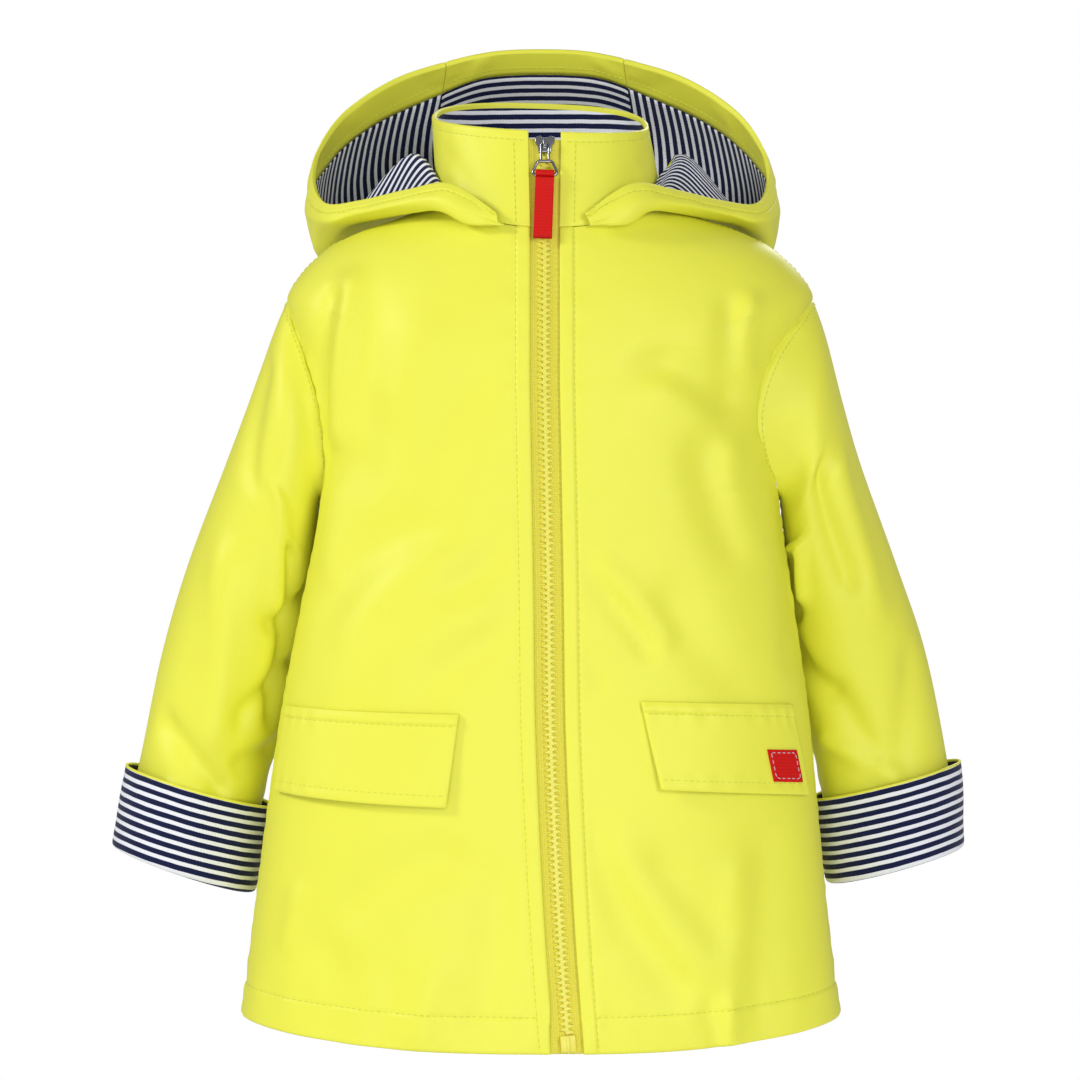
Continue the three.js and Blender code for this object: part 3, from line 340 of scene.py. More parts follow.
def put(tree, kind, inputs=(), **settings):
    """Add a node with its settings; inputs are (socket, a value or another node's output)."""
    made = tree.nodes.new(kind)
    for name, value in settings.items():
        setattr(made, name, value)
    for socket, value in inputs:
        if isinstance(value, bpy.types.NodeSocket):
            tree.links.new(value, made.inputs[socket])
        else:
            made.inputs[socket].default_value = value
    return made


def surface(name, **settings):
    """A new material with its main shader's plain numbers set; returns it, its tree and that."""
    material = bpy.data.materials.new(name)
    material.use_nodes = True
    shader = material.node_tree.nodes["Principled BSDF"]
    for socket, value in settings.items():
        shader.inputs[socket.replace("_", " ")].default_value = value
    return material, material.node_tree, shader


def join(tree, shader, **sockets):
    """Lead each output into the main shader's socket of that name."""
    for socket, output in sockets.items():
        tree.links.new(output, shader.inputs[socket.replace("_", " ")])


def cloud(tree, scale, detail=2.0, through=None):
    """Cloudy noise from 0 to 1, through the piece itself unless another map is given."""
    if through is None:
        through = put(tree, "ShaderNodeTexCoord").outputs["Object"]
    return put(tree, "ShaderNodeTexNoise",
               [("Vector", through), ("Scale", scale), ("Detail", detail)]).outputs["Fac"]


def ribs(tree, cut, scale, axis, inputs=()):
    return put(tree, "ShaderNodeTexWave", [("Vector", cut), ("Scale", scale), *inputs],
               bands_direction=axis).outputs["Fac"]


def sum_of(tree, operation, *values):
    return put(tree, "ShaderNodeMath", enumerate(values), operation=operation).outputs[0]


def between(tree, share, low, high):
    return put(tree, "ShaderNodeMapRange",
               [("Value", share), ("To Min", low), ("To Max", high)]).outputs["Result"]


def blend(tree, share, first, second):
    return put(tree, "ShaderNodeMix", [("Factor", share), ("A", linear(first)),
                                       ("B", linear(second))], data_type="RGBA").outputs["Result"]


def darkened(tree, share, low, colour):
    """A colour, down to a low share of itself."""
    return put(tree, "ShaderNodeVectorMath", [(0, linear(colour)[:3]),
                                              (1, between(tree, share, low, 1.0))],
               operation="MULTIPLY").outputs[0]


def raised(tree, height, strength, distance, inputs=()):
    return put(tree, "ShaderNodeBump", [("Height", height), ("Strength", strength),
                                        ("Distance", distance), *inputs]).outputs[0]


# Polyester cloth with a smooth polyurethane film: a satin, faintly uneven face with soft
# broad glints. The weave under the film is 0.25 mm, drawn at 1.1 mm so that it shows.
def coated_cloth(name, light, shade):
    material, tree, shader = surface(name, IOR=1.46, Coat_Weight=0.06, Coat_Roughness=0.4)
    film = cloud(tree, 60.0, 3.0)
    cut = put(tree, "ShaderNodeUVMap", uv_map="cut").outputs["UV"]
    weave = sum_of(tree, "MULTIPLY", *[ribs(tree, cut, 145.0, axis) for axis in "XY"])
    grain = raised(tree, weave, 0.05, 0.0002)
    join(tree, shader, Base_Color=blend(tree, cloud(tree, 9.0), light, shade),
         Roughness=between(tree, film, 0.48, 0.6),
         Normal=raised(tree, film, 0.16, 0.0012, [("Normal", grain)]))
    return material


# Cotton jersey knitted in navy and white stripes that repeat every 5.1 mm, the navy a little
# wider. It is matt, with soft stripe edges and knitted rows of 0.9 mm.
STRIPE, KNIT_ROW = 5.1 * MM, 0.9 * MM
STRIPE_EDGES = (0.27, 0.31, 0.69, 0.73)  # shares of the repeat: white lies between


def striped_jersey(name, start=0.0):
    material, tree, shader = surface(name, Roughness=0.92, Sheen_Weight=0.12,
                                     Sheen_Roughness=0.5, Specular_IOR_Level=0.2)
    cut = put(tree, "ShaderNodeUVMap", uv_map="cut").outputs["UV"]
    split = put(tree, "ShaderNodeSeparateXYZ", [("Vector", cut)]).outputs["Y"]
    shift = sum_of(tree, "MULTIPLY_ADD", cloud(tree, 70.0, through=cut), 0.0007, split)
    part = sum_of(tree, "FRACT", sum_of(tree, "MULTIPLY_ADD", shift, 1 / STRIPE, start))
    ramp = put(tree, "ShaderNodeValToRGB", [("Fac", part)])
    navy, white = linear("#10183F"), linear("#E9EBF2")
    colours = ramp.color_ramp.elements
    colours[0].position, colours[0].color = 0.0, navy
    colours[1].position, colours[1].color = 1.0, navy
    for position, colour in zip(STRIPE_EDGES, (navy, white, white, navy)):
        colours.new(position).color = colour
    loops = ribs(tree, cut, 0.16 / KNIT_ROW, "X", [("Distortion", 1.5), ("Detail Scale", 4.0)])
    height = sum_of(tree, "ADD", loops, cloud(tree, 900.0, through=cut))
    join(tree, shader, Base_Color=ramp.outputs["Color"],
         Normal=raised(tree, height, 0.35, 0.0003))
    return material


shell_cloth = coated_cloth("lime_coated_cloth", "#EBEB4B", "#E6E644")
jersey = striped_jersey("navy_striped_jersey")

front_us = stops((0, 0.006, 2), (0.006, 0.05, 4), (0.05, 0.082, 6), (0.082, STRIP_SHARE, 3),
                 (STRIP_SHARE, 0.97, 56), (0.97, 0.99, 5), (0.99, 1, 4))
body_vs = stops((0, 0.03, 3), (0.03, 0.26, 5), (0.26, 0.34, 7), (0.34, 11.8, 150),
                (11.8, 11.997, 6))
cut_pieces = []
for side in (RIGHT, LEFT):
    front = cloth(f"front_{KEY[side]}_cloth", partial(front_point, side), front_us, body_vs, side,
                  wall=HEM_FOLD, inside=True, thin_above=HEM_ROW)
    cut_pieces.append(dress(front, "coat", "shell", shell_cloth, jersey,
                            replaces=[f"front_{KEY[side]}"]))
back_us = stops((-1, -0.99, 4), (-0.99, -0.97, 5), (-0.97, 0.97, 110), (0.97, 0.99, 5),
                (0.99, 1, 4))
back = cloth("back_cloth", back_point, back_us, body_vs, -1, wall=HEM_FOLD, inside=True,
             thin_above=HEM_ROW)
cut_pieces.append(dress(back, "coat", "shell", shell_cloth, jersey, replaces=["back"]))


# Polyester sewing thread: round, evenly twisted, with a slight shine.
def thread(name, colour):
    material, tree, shader = surface(name, Roughness=0.5, Sheen_Weight=0.2)
    join(tree, shader, Base_Color=darkened(tree, cloud(tree, 1600.0), 0.8, colour))
    return material


lime_thread = thread("lime_thread", "#DDE347")
STITCH, STITCH_GAP, THREAD = 2.6, 0.9, 0.55
SEWN_LIFT = 0.1  # how far the stitches' middle stands off the cloth


def trace(point, us, vs, side, lift):
    """A line over a surface, as places and outward directions."""
    us, vs = np.broadcast_arrays(us, vs)
    out = normals_of(point, us, vs) * side
    return point(us, vs) + out * lift, out


def evenly(places, others, pitch):
    """The same line in even steps, with the directions carried along."""
    reach = np.concatenate([[0], np.cumsum(np.linalg.norm(np.diff(places, axis=0), axis=1))])
    marks = np.arange(pitch / 2, reach[-1], pitch)
    return [np.stack([np.interp(marks, reach, each[:, k]) for k in range(3)], 1)
            for each in (places, others)]


def stand_on(place, ahead, out):
    """A matrix, in metres, whose Z runs ahead and whose Y faces out of the cloth."""
    ahead = Vector(ahead).normalized()
    across = Vector(out).cross(ahead).normalized()
    basis = Matrix((across, ahead.cross(across), ahead)).transposed().to_4x4()
    return Matrix.Translation(Vector(place) * MM) @ basis


def repeated(makers):
    """Many small shapes in one bmesh, gathered from short runs of them, which is quicker."""
    whole = bmesh.new()
    for first in range(0, len(makers), 40):
        part, mesh = bmesh.new(), bpy.data.meshes.new("part")
        for maker in makers[first:first + 40]:
            maker(part)
        part.to_mesh(mesh)
        part.free()
        whole.from_mesh(mesh)
        bpy.data.meshes.remove(mesh)
    return whole


def stitches(name, rows, material, slot="shell"):
    """Rows of raised stitches, all in one piece; each row is (places, outward directions)."""
    size = Matrix.Diagonal((THREAD / 2 * MM, THREAD / 2 * MM, STITCH / 2 * MM, 1))
    stands = []
    for places, outs in rows:
        places, outs = evenly(places, outs, STITCH + STITCH_GAP)
        stands += [stand_on(*each) for each in zip(places, np.gradient(places, axis=0), outs)]
    sewn = repeated([lambda part, stand=stand: bmesh.ops.create_uvsphere(
        part, u_segments=6, v_segments=4, radius=1, matrix=stand @ size) for stand in stands])
    dress(finish(name, sewn), "coat", slot, material)


rows = []
fine = np.linspace(0, 1, 400)
placket_u = STRIP_SHARE * PLACKET / STRIP
for side in (RIGHT, LEFT):
    face = partial(front_point, side)
    rows += [trace(face, placket_u, 0.04 + 11.9 * fine, side, SEWN_LIFT),
             trace(face, placket_u + (0.985 - placket_u) * fine, HEM_ROW, side, SEWN_LIFT),
             trace(face, 0.972, 8.3 + 3.6 * fine, side, SEWN_LIFT),
             trace(back_point, side * 0.985 * fine, HEM_ROW, -1, SEWN_LIFT)]
stitches("body_stitches", rows, lime_thread)

# The sleeves: one piece of coated cloth each, closed along the inner arm and sewn into the
# armhole, with the striped lining inside. They hang slightly bent and crease at the inner arm.
SLEEVE_ROWS = {  # rings down the arm: outer x and z, inner x and z, middle y and half depth
    RIGHT: [
        (-153, -68, -127, -161, 1, 41), (-167, -106, -129, -177, 6, 43),
        (-180, -139, -131.5, -197, 12, 44), (-201, -193, -136.5, -228, 19, 43),
        (-216, -243, -146, -272, 24, 40), (-229, -304, -160.5, -325, 27, 36),
        (-240.5, -347, -167, -372, 28, 35.5),
    ],
    LEFT: [
        (151.5, -67, 127, -161, 1, 41), (161.5, -104, 129, -177, 6, 43),
        (172, -138, 130.5, -198, 12, 44), (192, -192, 134, -228, 19, 43),
        (208.5, -240, 140.5, -271, 24, 40), (220.5, -297, 151, -317, 27, 36),
        (227.5, -347, 157, -367, 28, 35.5),
    ],
}
SLEEVE_END = 7
ARM_STEP = 48  # millimetres from one ring to the next
ARM_ROUND = 0.66  # millimetres round the arm for each degree
ARMPIT_GAP, SEAM_ROOM = 1.25, 0.42
UNDER_BODY = 1.4  # the body laps over the sleeve at the armpit
UNDERARM = 186  # degrees: where the sleeve's own seam runs
# Creases on a sleeve, from (turn, ring) to (turn, ring): turn is 0 outside, 90 in front and
# 180 at the body. Then half width in millimetres, how far it stands out, and its bow.
SLEEVE_CREASES = {
    RIGHT: [
        (128, 2.9, 150, 5.2, 7, -6.8, 3), (100, 2.2, 134, 4.0, 8, 3.8, 0),
        (172, 3.3, 118, 4.2, 6, -5.1, 3), (176, 4.4, 112, 5.3, 6, -5.4, -3),
        (60, 3.6, 96, 5.6, 10, 3.3, 4), (42, 5.5, 118, 6.0, 6, -4.7, 2),
        (120, 5.7, 172, 5.4, 6, -4.7, 0), (64, 6.1, 150, 6.25, 5, 3.3, 2),
        (30, 1.2, 64, 2.8, 10, -3.2, 0),
    ],
    LEFT: [
        (168, 2.5, 128, 2.8, 6, 5.4, -3), (128, 2.8, 140, 3.7, 6, 5.1, 3),
        (150, 2.9, 158, 3.9, 6, -5.8, 0), (92, 2.0, 84, 3.9, 9, -6.3, 2),
        (62, 2.4, 70, 4.4, 10, 3.3, 0), (170, 4.2, 120, 5.0, 7, -5.8, 3),
        (120, 5.0, 98, 5.9, 8, -3.8, 0), (150, 5.4, 80, 6.1, 6, 3.6, -2),
        (44, 4.9, 84, 6.0, 9, -3.0, 0),
    ],
}
BEHIND_CREASES = [
    (246, 2.6, 210, 3.8, 9, -2.6, 3), (290, 2.0, 262, 4.0, 13, -1.8, 0),
    (200, 4.3, 268, 5.0, 9, -2.6, -3), (236, 5.2, 300, 5.9, 9, 2.0, 3),
    (300, 3.2, 320, 5.2, 12, 1.4, 0),
]


def armpit(turn):
    return ease(-0.6, 0.5, -np.cos(turn))


def seam_gap(turn):
    return SEAM_ROOM + ARMPIT_GAP * armpit(turn)


def outward(side, reach):
    return reach[..., None] * np.array([side * 0.98, 0, -0.2])


def armhole_point(side, turn):
    middle, half = (SHOULDER_ROW + ARMPIT_ROW) / 2, (SHOULDER_ROW - ARMPIT_ROW) / 2
    forward = np.sin(turn)
    cut = np.where(forward > 0, *[math.radians(d) for d in ARMHOLE_CUT[side]])
    ring_point = body_point(side, QUARTER - cut * forward, middle + half * np.cos(turn))
    return ring_point + outward(side, seam_gap(turn))


def sleeve_clean(side, turn, along):
    rings = [armhole_point(side, turn)]
    for out_x, out_z, in_x, in_z, middle, half in SLEEVE_ROWS[side]:
        rings.append(np.stack([
            (out_x + in_x) / 2 + (out_x - in_x) / 2 * np.cos(turn),
            middle - half * np.sin(turn),
            (out_z + in_z) / 2 + (out_z - in_z) / 2 * np.cos(turn)], -1))
    return np.stack([spline([each[..., k] for each in rings], along) for k in range(3)], -1)


def sleeve_point(side, turn, along):
    drawn_in = (seam_gap(turn) + UNDER_BODY * armpit(turn)) * (1 - ease(0, 0.5, along))
    base = sleeve_clean(side, turn, along) - outward(side, drawn_in)
    around = np.degrees(turn) % 360 * ARM_ROUND
    from_underarm = around - UNDERARM * ARM_ROUND
    creases = [(a * ARM_ROUND, b * ARM_STEP, c * ARM_ROUND, d * ARM_STEP, *rest)
               for a, b, c, d, *rest in SLEEVE_CREASES[side] + BEHIND_CREASES]
    down = along * ARM_STEP
    lift = crease_lift(creases, around, down) * ease(4, 30, down)
    lift += puckers(around, down, 0.4, 11) * ease(0, 4, down) - SEAM_DIP * ridge(down, SEAM_HALF)
    lift += puckers(down, from_underarm, 0.3, 6) - 0.5 * ridge(from_underarm, 1.2)
    normal = normals_of(partial(sleeve_clean, side), turn, along)
    return base + normal * side * lift[..., None]


sleeve_us = math.radians(UNDERARM) + np.linspace(0, 2 * math.pi, 97)
round_arm = math.radians(UNDERARM) + 2 * math.pi * fine
sleeve_vs = stops((-0.12, 0.06, 8), (0.06, 6.95, 130))  # it reaches a little under the body
rows = []
for side in (RIGHT, LEFT):
    face = partial(sleeve_point, side)
    sleeve = cloth(f"sleeve_{KEY[side]}_cloth", face, sleeve_us, sleeve_vs, side, inside=True)
    cut_pieces.append(dress(sleeve, "coat", "shell", shell_cloth, jersey,
                            replaces=[f"sleeve_{KEY[side]}"]))
    rows.append(trace(face, round_arm, 0.13, side, SEWN_LIFT))
stitches("sleeve_stitches", rows, lime_thread)

# The cuffs: the last 45 mm of sleeve and lining turned up together, so that the striped side
# is out. The shell shows as a thin edge at the top, and a white seam runs 6.6 mm below it.
CUFF_TOP, CUFF_WALL, CUFF_SEAM = 45, 1.0, 6.6
CUFF_STATIONS = [  # millimetres up from the sleeve's end, and out from its face
    (CUFF_TOP, 5.4), (27, 4.6), (11, 3.2), (2, 2.6), (-0.9, 2.0), (-1.6, 0.6),
    (-1.5, -1.2), (-0.4, -2.9), (3, -3.2), (10, -3.2), (16, -3.2),
]
ROW_LENGTH = {
    side: math.hypot(*[(SLEEVE_ROWS[side][-1][k] + SLEEVE_ROWS[side][-1][k + 2]
                        - SLEEVE_ROWS[side][-2][k] - SLEEVE_ROWS[side][-2][k + 2]) / 2
                       for k in (0, 1)]) for side in (RIGHT, LEFT)}


def cuff_point(side, turn, stage):
    up, out = [spline(each, stage) for each in zip(*CUFF_STATIONS)]
    along = SLEEVE_END - up / ROW_LENGTH[side]
    normal = normals_of(partial(sleeve_clean, side), turn, along) * side
    turn_once = turn % (2 * math.pi)
    from_seam = up - CUFF_TOP + CUFF_SEAM
    waves = (0.9 * np.sin(turn_once * 2 + 0.6) * ease(0, 40, up)
             + 0.35 * np.sin(turn_once * 5 + side) * ease(6, 40, up) - 0.3 * ridge(from_seam, 0.9)
             + puckers(np.degrees(turn_once) * ARM_ROUND, from_seam, 0.14, 5))
    return sleeve_clean(side, turn, along) + normal * (out + waves)[..., None]


cuff_jersey = striped_jersey("cuff_striped_jersey", start=0.5)
white_thread = thread("white_thread", "#C9CCD6")
cuff_vs = stops((0, 1, 22), (1, 3, 14), (3, 7, 16), (7, 10, 8))
rows = []


def cuff_edge(side, u, phi):
    """The shell's thin edge round the cuff's top: phi goes round its own small section."""
    face = partial(cuff_point, side)
    top, below = face(u, np.zeros_like(u)), face(u, np.full_like(u, 0.05))
    down = (below - top) / np.linalg.norm(below - top, axis=-1, keepdims=True)
    out = normals_of(face, u, np.full_like(u, 0.02)) * -side
    return top - out * 0.5 + 0.75 * (out * np.cos(phi)[..., None] + down * np.sin(phi)[..., None])


for side in (RIGHT, LEFT):
    face = partial(cuff_point, side)
    cuff = cloth(f"cuff_{KEY[side]}_cloth", face, sleeve_us, cuff_vs, -side, wall=CUFF_WALL)
    cut_pieces.append(dress(cuff, "coat", "lining", cuff_jersey, replaces=[f"cuff_{KEY[side]}"]))
    edging = cloth(f"cuff_edge_{KEY[side]}", partial(cuff_edge, side), sleeve_us,
                   np.linspace(0, 2 * math.pi, 9), 1)
    edging.modifiers.clear()
    dress(edging, "coat", "shell", shell_cloth)
    rows.append(trace(face, round_arm, 0.37, -side, 0.05))
stitches("cuff_stitches", rows, white_thread, slot="lining")

# The stand collar: a curved band of coated cloth round the neck, 55 to 60 mm high, lined with
# the striped jersey. Its top edge is turned in 3 mm and stitched.
COLLAR_Z_FRONT, COLLAR_Z_SIDE, COLLAR_Z_BACK = 41, 52, 67
COLLAR_HALF, COLLAR_MIDDLE, COLLAR_FRONT, COLLAR_BACK = 59.5, -1, -50, 49
COLLAR_SQUARE, COLLAR_LEAN, COLLAR_SHIFT = 2.5, 2.5, -5.5
LINING = 0.8
COLLAR_INSIDE, COLLAR_STITCH = 2.6, 50
COLLAR_HIGH, COLLAR_ROUND = 56, 55  # millimetres up, and round for each radian
COLLAR_CREASES = [  # around in millimetres from centre back, height in millimetres
    (-150, 8, -112, 40, 8, -0.9, 3), (150, 8, 112, 38, 8, -0.9, -3),
    (-128, 2, -120, 30, 7, 0.9, 0), (126, 2, 120, 30, 7, 0.9, 0), (-60, 6, 10, 20, 9, -1.0, 4),
]


def neck_ring(side, turn):
    return body_point(side, turn, np.full_like(turn, NECK_ROW))


def collar_clean(around, up):
    """around runs from the zip at -pi behind the neck, 0, to the zip at pi; up from 0 to 1."""
    side = np.where(around < 0, RIGHT, LEFT)
    turn = math.pi - np.abs(around)
    low = neck_ring(side, turn)
    power = 2 / COLLAR_SQUARE
    cosine, sine = np.cos(turn), np.clip(np.sin(turn), 0, None)
    reach = np.where(cosine > 0, COLLAR_FRONT, COLLAR_BACK) - COLLAR_MIDDLE
    z_end = np.where(cosine > 0, COLLAR_Z_FRONT, COLLAR_Z_BACK)
    x = side * COLLAR_HALF * sine**power
    rise = np.abs(cosine) ** power
    high = np.stack([x + COLLAR_SHIFT * sine**2, COLLAR_MIDDLE + reach * rise,
                     COLLAR_Z_SIDE + (z_end - COLLAR_Z_SIDE) * rise
                     - COLLAR_LEAN * x / COLLAR_HALF], -1)
    return low + (high - low) * up[..., None]


def collar_edge_turn(inset):
    zip_x = RING["zip"][NECK_ROW]
    return [side * (math.pi - float(turn_at(side, np.array(side * inset + zip_x),
                                            np.array(float(NECK_ROW))))) for side in (RIGHT, LEFT)]


def collar_shell(around, stage):
    """stage goes up the outside to 1, over the top edge, and down inside to 2."""
    up = np.interp(stage, [0, 1, 1.25, 1.5, 2], [0, 0.985, 1, 0.985, 0.935])
    inward = np.interp(stage, [0, 1, 1.25, 1.5, 2], [0, 0, 1.2, COLLAR_INSIDE, COLLAR_INSIDE])
    high, wide, from_row = up * COLLAR_HIGH, around * COLLAR_ROUND, up * COLLAR_HIGH - COLLAR_STITCH
    lift = crease_lift(COLLAR_CREASES, wide, high) * ease(2, 12, high)
    lift += puckers(wide, high, 0.3, 7) * ease(0, 3, high) - NECK_DIP * ridge(high, NECK_HALF)
    lift += (puckers(wide, from_row, 0.14, 5) - 0.25 * ridge(from_row, 0.8)) * (stage <= 1)
    normal = normals_of(collar_clean, around, up)
    return collar_clean(around, up) - normal * (lift - inward)[..., None]


def collar_inside(around, up):
    normal = normals_of(collar_clean, around, up)
    return collar_clean(around, up) + normal * (COLLAR_INSIDE + 0.1)


collar_from, collar_to = collar_edge_turn(ZIP_HALF_GAP)
COLLAR_RIM = 0.02
collar_us = stops((collar_from, collar_from + COLLAR_RIM, 3),
                  (collar_from + COLLAR_RIM, collar_to - COLLAR_RIM, 120),
                  (collar_to - COLLAR_RIM, collar_to, 3))
collar = cloth("collar_cloth", collar_shell, collar_us,
               stops((0.003, 0.06, 4), (0.06, 0.86, 22), (0.86, 1, 8), (1, 1.5, 8), (1.5, 2, 4)),
               -1, wall=0.9)
cut_pieces.append(dress(collar, "coat", "shell", shell_cloth, replaces=["collar"]))
lining_from, lining_to = collar_edge_turn(14)
collar_lining = cloth("collar_lining_cloth", collar_inside,
                      np.linspace(lining_from, lining_to, 111), stops((0, 0.945, 30)), 1,
                      wall=LINING)
cut_pieces.append(dress(collar_lining, "coat", "lining", jersey, replaces=["collar_lining"]))
around = collar_from + 0.03 + (collar_to - collar_from - 0.06) * fine
rows = [trace(collar_shell, around, 0.9, -1, SEWN_LIFT)]
for turn in collar_edge_turn(ZIP_HALF_GAP + PLACKET):
    rows.append(trace(collar_shell, turn, 0.03 + 0.87 * fine, -1, SEWN_LIFT))
stitches("collar_stitches", rows, lime_thread)

# The hood: three panels of coated cloth, each with its own striped lining, pushed back so that
# it lies open on the shoulders behind the collar. Its rim is turned in as a 15 mm band.
HOOD_ROWS = [  # rim, wall, fold and floor points, the neck angle, and the way out there
    ((0, 95, 104), (0, 130, 46), (0, 135, -46), (0, 97, -36), 180, 0.9),
    ((28, 94, 102.5), (32, 129, 45), (30, 134, -47), (22, 96, -36), 171, 0.9),
    ((55, 90, 96), (63, 125, 42), (58, 130, -46), (43, 92, -34), 162, 0.9),
    ((84, 80, 85), (94, 113, 34), (86, 119, -43), (64, 82, -28), 151, 0.9),
    ((111, 64, 65), (120, 92, 20), (112, 96, -34), (80, 66, -15), 137, 0.9),
    ((125, 44, 42), (132, 58, 6), (123, 62, -26), (90, 48, -4), 124, 0.9),
    ((127, 20, 21), (132, 23, 0), (124, 30, -18), (92, 26, 4), 110, 2.2),
    ((118, -6, 6), (121, -7, -4), (108, 8, -5.5), (86, 6, 20), 96, 3.6),
    ((98, -24, 6), (100.5, -26, -2.5), (86, -9, -1), (74, -5, 31), 82, 3.8),
    ((72, -43, 10), (76, -46, 1), (68.5, -34, -1), (64, -20, 21), 64, 4.6),
    ((48, -55, 12), (52, -61, 3), (51.5, -61, -4), (48, -58, -8), 45, 4.4),
    ((23, -65.5, -5), (24, -66, -8), (24, -66, -10.5), (23, -65, -11.5), 21, 4.2),
]
HOOD_SKEW = (-5, -4, -3, -1.5)
HOOD_LIFT, HOOD_BAND, HOOD_SEAMS = 1, 15, (9, 12.75)
HOOD_BAND_EXTRA = 9  # the band is cut deeper at the sides
HOOD_MIDDLE = len(HOOD_ROWS) - 1
HOOD_SHELL, HOOD_INSIDE = 0.9, 2.3
HOOD_UNIT, HOOD_STEP = 25, 26  # the creases' unit, and millimetres from row to row
HOOD_STITCH, SEAM_TRIM = 0.93, 0.006
HOOD_CREASES = [  # place in rows and way down in stages, both times HOOD_UNIT
    (205, 52, 216, 122, 10, -2.6, 3), (262, 50, 254, 124, 10, -2.4, -3),
    (330, 52, 344, 118, 9, -2.6, 3), (392, 56, 372, 112, 8, 2.0, 0),
    (168, 54, 184, 112, 8, 2.0, 0), (292, 60, 301, 122, 8, 1.6, 0),
    (232, 74, 236, 122, 9, 1.5, 0), (120, 50, 150, 84, 9, -2.2, 3),
    (430, 50, 402, 88, 9, -2.2, -3), (86, 46, 112, 66, 7, 1.5, 0),
    (466, 46, 440, 68, 7, 1.5, 0),
]
HOOD_BAND_CREASES = [
    (178, 4, 190, 22, 5, -1.1, 0), (214, 6, 221, 22, 5, 1.0, 0), (246, 4, 238, 24, 5, -1.1, 0),
    (304, 5, 316, 22, 5, -1.2, 0), (338, 5, 330, 22, 5, 1.0, 0), (366, 5, 376, 24, 5, -1.1, 0),
    (150, 5, 143, 22, 5, 1.1, 0), (400, 5, 408, 22, 5, 1.1, 0),
]


def hood_rows():
    halves = [[(RIGHT, row) for row in reversed(HOOD_ROWS)], [(LEFT, row) for row in HOOD_ROWS[1:]]]
    controls = []
    for side, (*points, neck, out) in halves[0] + halves[1]:
        seat = neck_ring(side, np.array(math.radians(neck)))
        away = np.array([seat[0], seat[1] - RING["middle"][NECK_ROW], 0])
        seat = seat + out * away / np.linalg.norm(away) + np.array([0, 0, HOOD_LIFT])
        controls.append([np.array([side * x + skew, y, z])
                         for (x, y, z), skew in zip(points, HOOD_SKEW)] + [seat])
    return np.array(controls)


HOOD = hood_rows()


def hood_clean(place, down, inset=0.0):
    """down is 0 at the rim, 1 at the band's foot, 2 at the wall, 3 fold, 4 floor, 5 neck."""
    section = [np.stack([spline(HOOD[:, k, axis], place) for axis in range(3)], -1)
               for k in range(HOOD.shape[1])]
    length = np.linalg.norm(section[0] - section[1], axis=-1)
    from_middle = np.abs(place - HOOD_MIDDLE)
    deeper = HOOD_BAND_EXTRA * ease(1, 3, from_middle) * (1 - ease(5, 6.5, from_middle))
    band = np.minimum((HOOD_BAND + deeper) / length, 0.5)
    start = band + inset / length
    at = np.where(down < 1, band * down,
                  np.where(down < 2, start + (1 - start) * (down - 1), down - 1))
    return np.stack([spline([each[..., axis] for each in section], at) for axis in range(3)], -1)


def hood_panel_edge(place, start, end):
    """How far a place is from its panel's side seams, in millimetres."""
    return np.minimum(np.abs(place - start), np.abs(end - place)) * HOOD_STEP


def hood_lift(place, down):
    return (crease_lift(HOOD_CREASES, place * HOOD_UNIT, down * HOOD_UNIT)
            * ease(1.2, 1.9, down))


def hood_shell(place, stage, start, end):
    """stage runs from -1, the band's foot inside, over the rim at 0, to the neck at 5."""
    down = np.abs(stage)
    from_tip = np.minimum(place, 2 * HOOD_MIDDLE - place)
    inward = np.where(stage < 0, HOOD_INSIDE * ease(0, 0.09, down), 0) * ease(0, 0.7, from_tip)
    from_seam = hood_panel_edge(place, start, end)
    from_row = (stage - HOOD_STITCH) * HOOD_BAND
    lift = hood_lift(place, down)
    lift = lift + crease_lift(HOOD_BAND_CREASES, place * HOOD_UNIT, down * HOOD_UNIT)
    for seam in (start, end):
        if 0 < seam < 2 * HOOD_MIDDLE:
            lift = lift - 0.3 * ridge((place - seam) * HOOD_STEP, SEAM_HALF)
    lift = lift + puckers(stage * 30, from_seam, 0.3, 8) * ease(0, 3, from_seam)
    lift = lift + puckers(place * HOOD_STEP, from_row, 0.22, 7) - 0.4 * ridge(from_row, 0.9)
    lift = lift + 0.5 * (1 - ease(0.88, 0.98, stage)) * (stage > 0.1)
    normal = normals_of(hood_clean, place, down)
    return hood_clean(place, down) + normal * (lift - inward)[..., None]


def hood_inside(place, stage, start, end):
    clean = partial(hood_clean, inset=1.0)
    dip = HOOD_INSIDE + 0.5 * ridge(hood_panel_edge(place, start, end), 1.2)
    return clean(place, stage) + (normals_of(clean, place, stage)
                                  * (hood_lift(place, stage) - dip)[..., None])


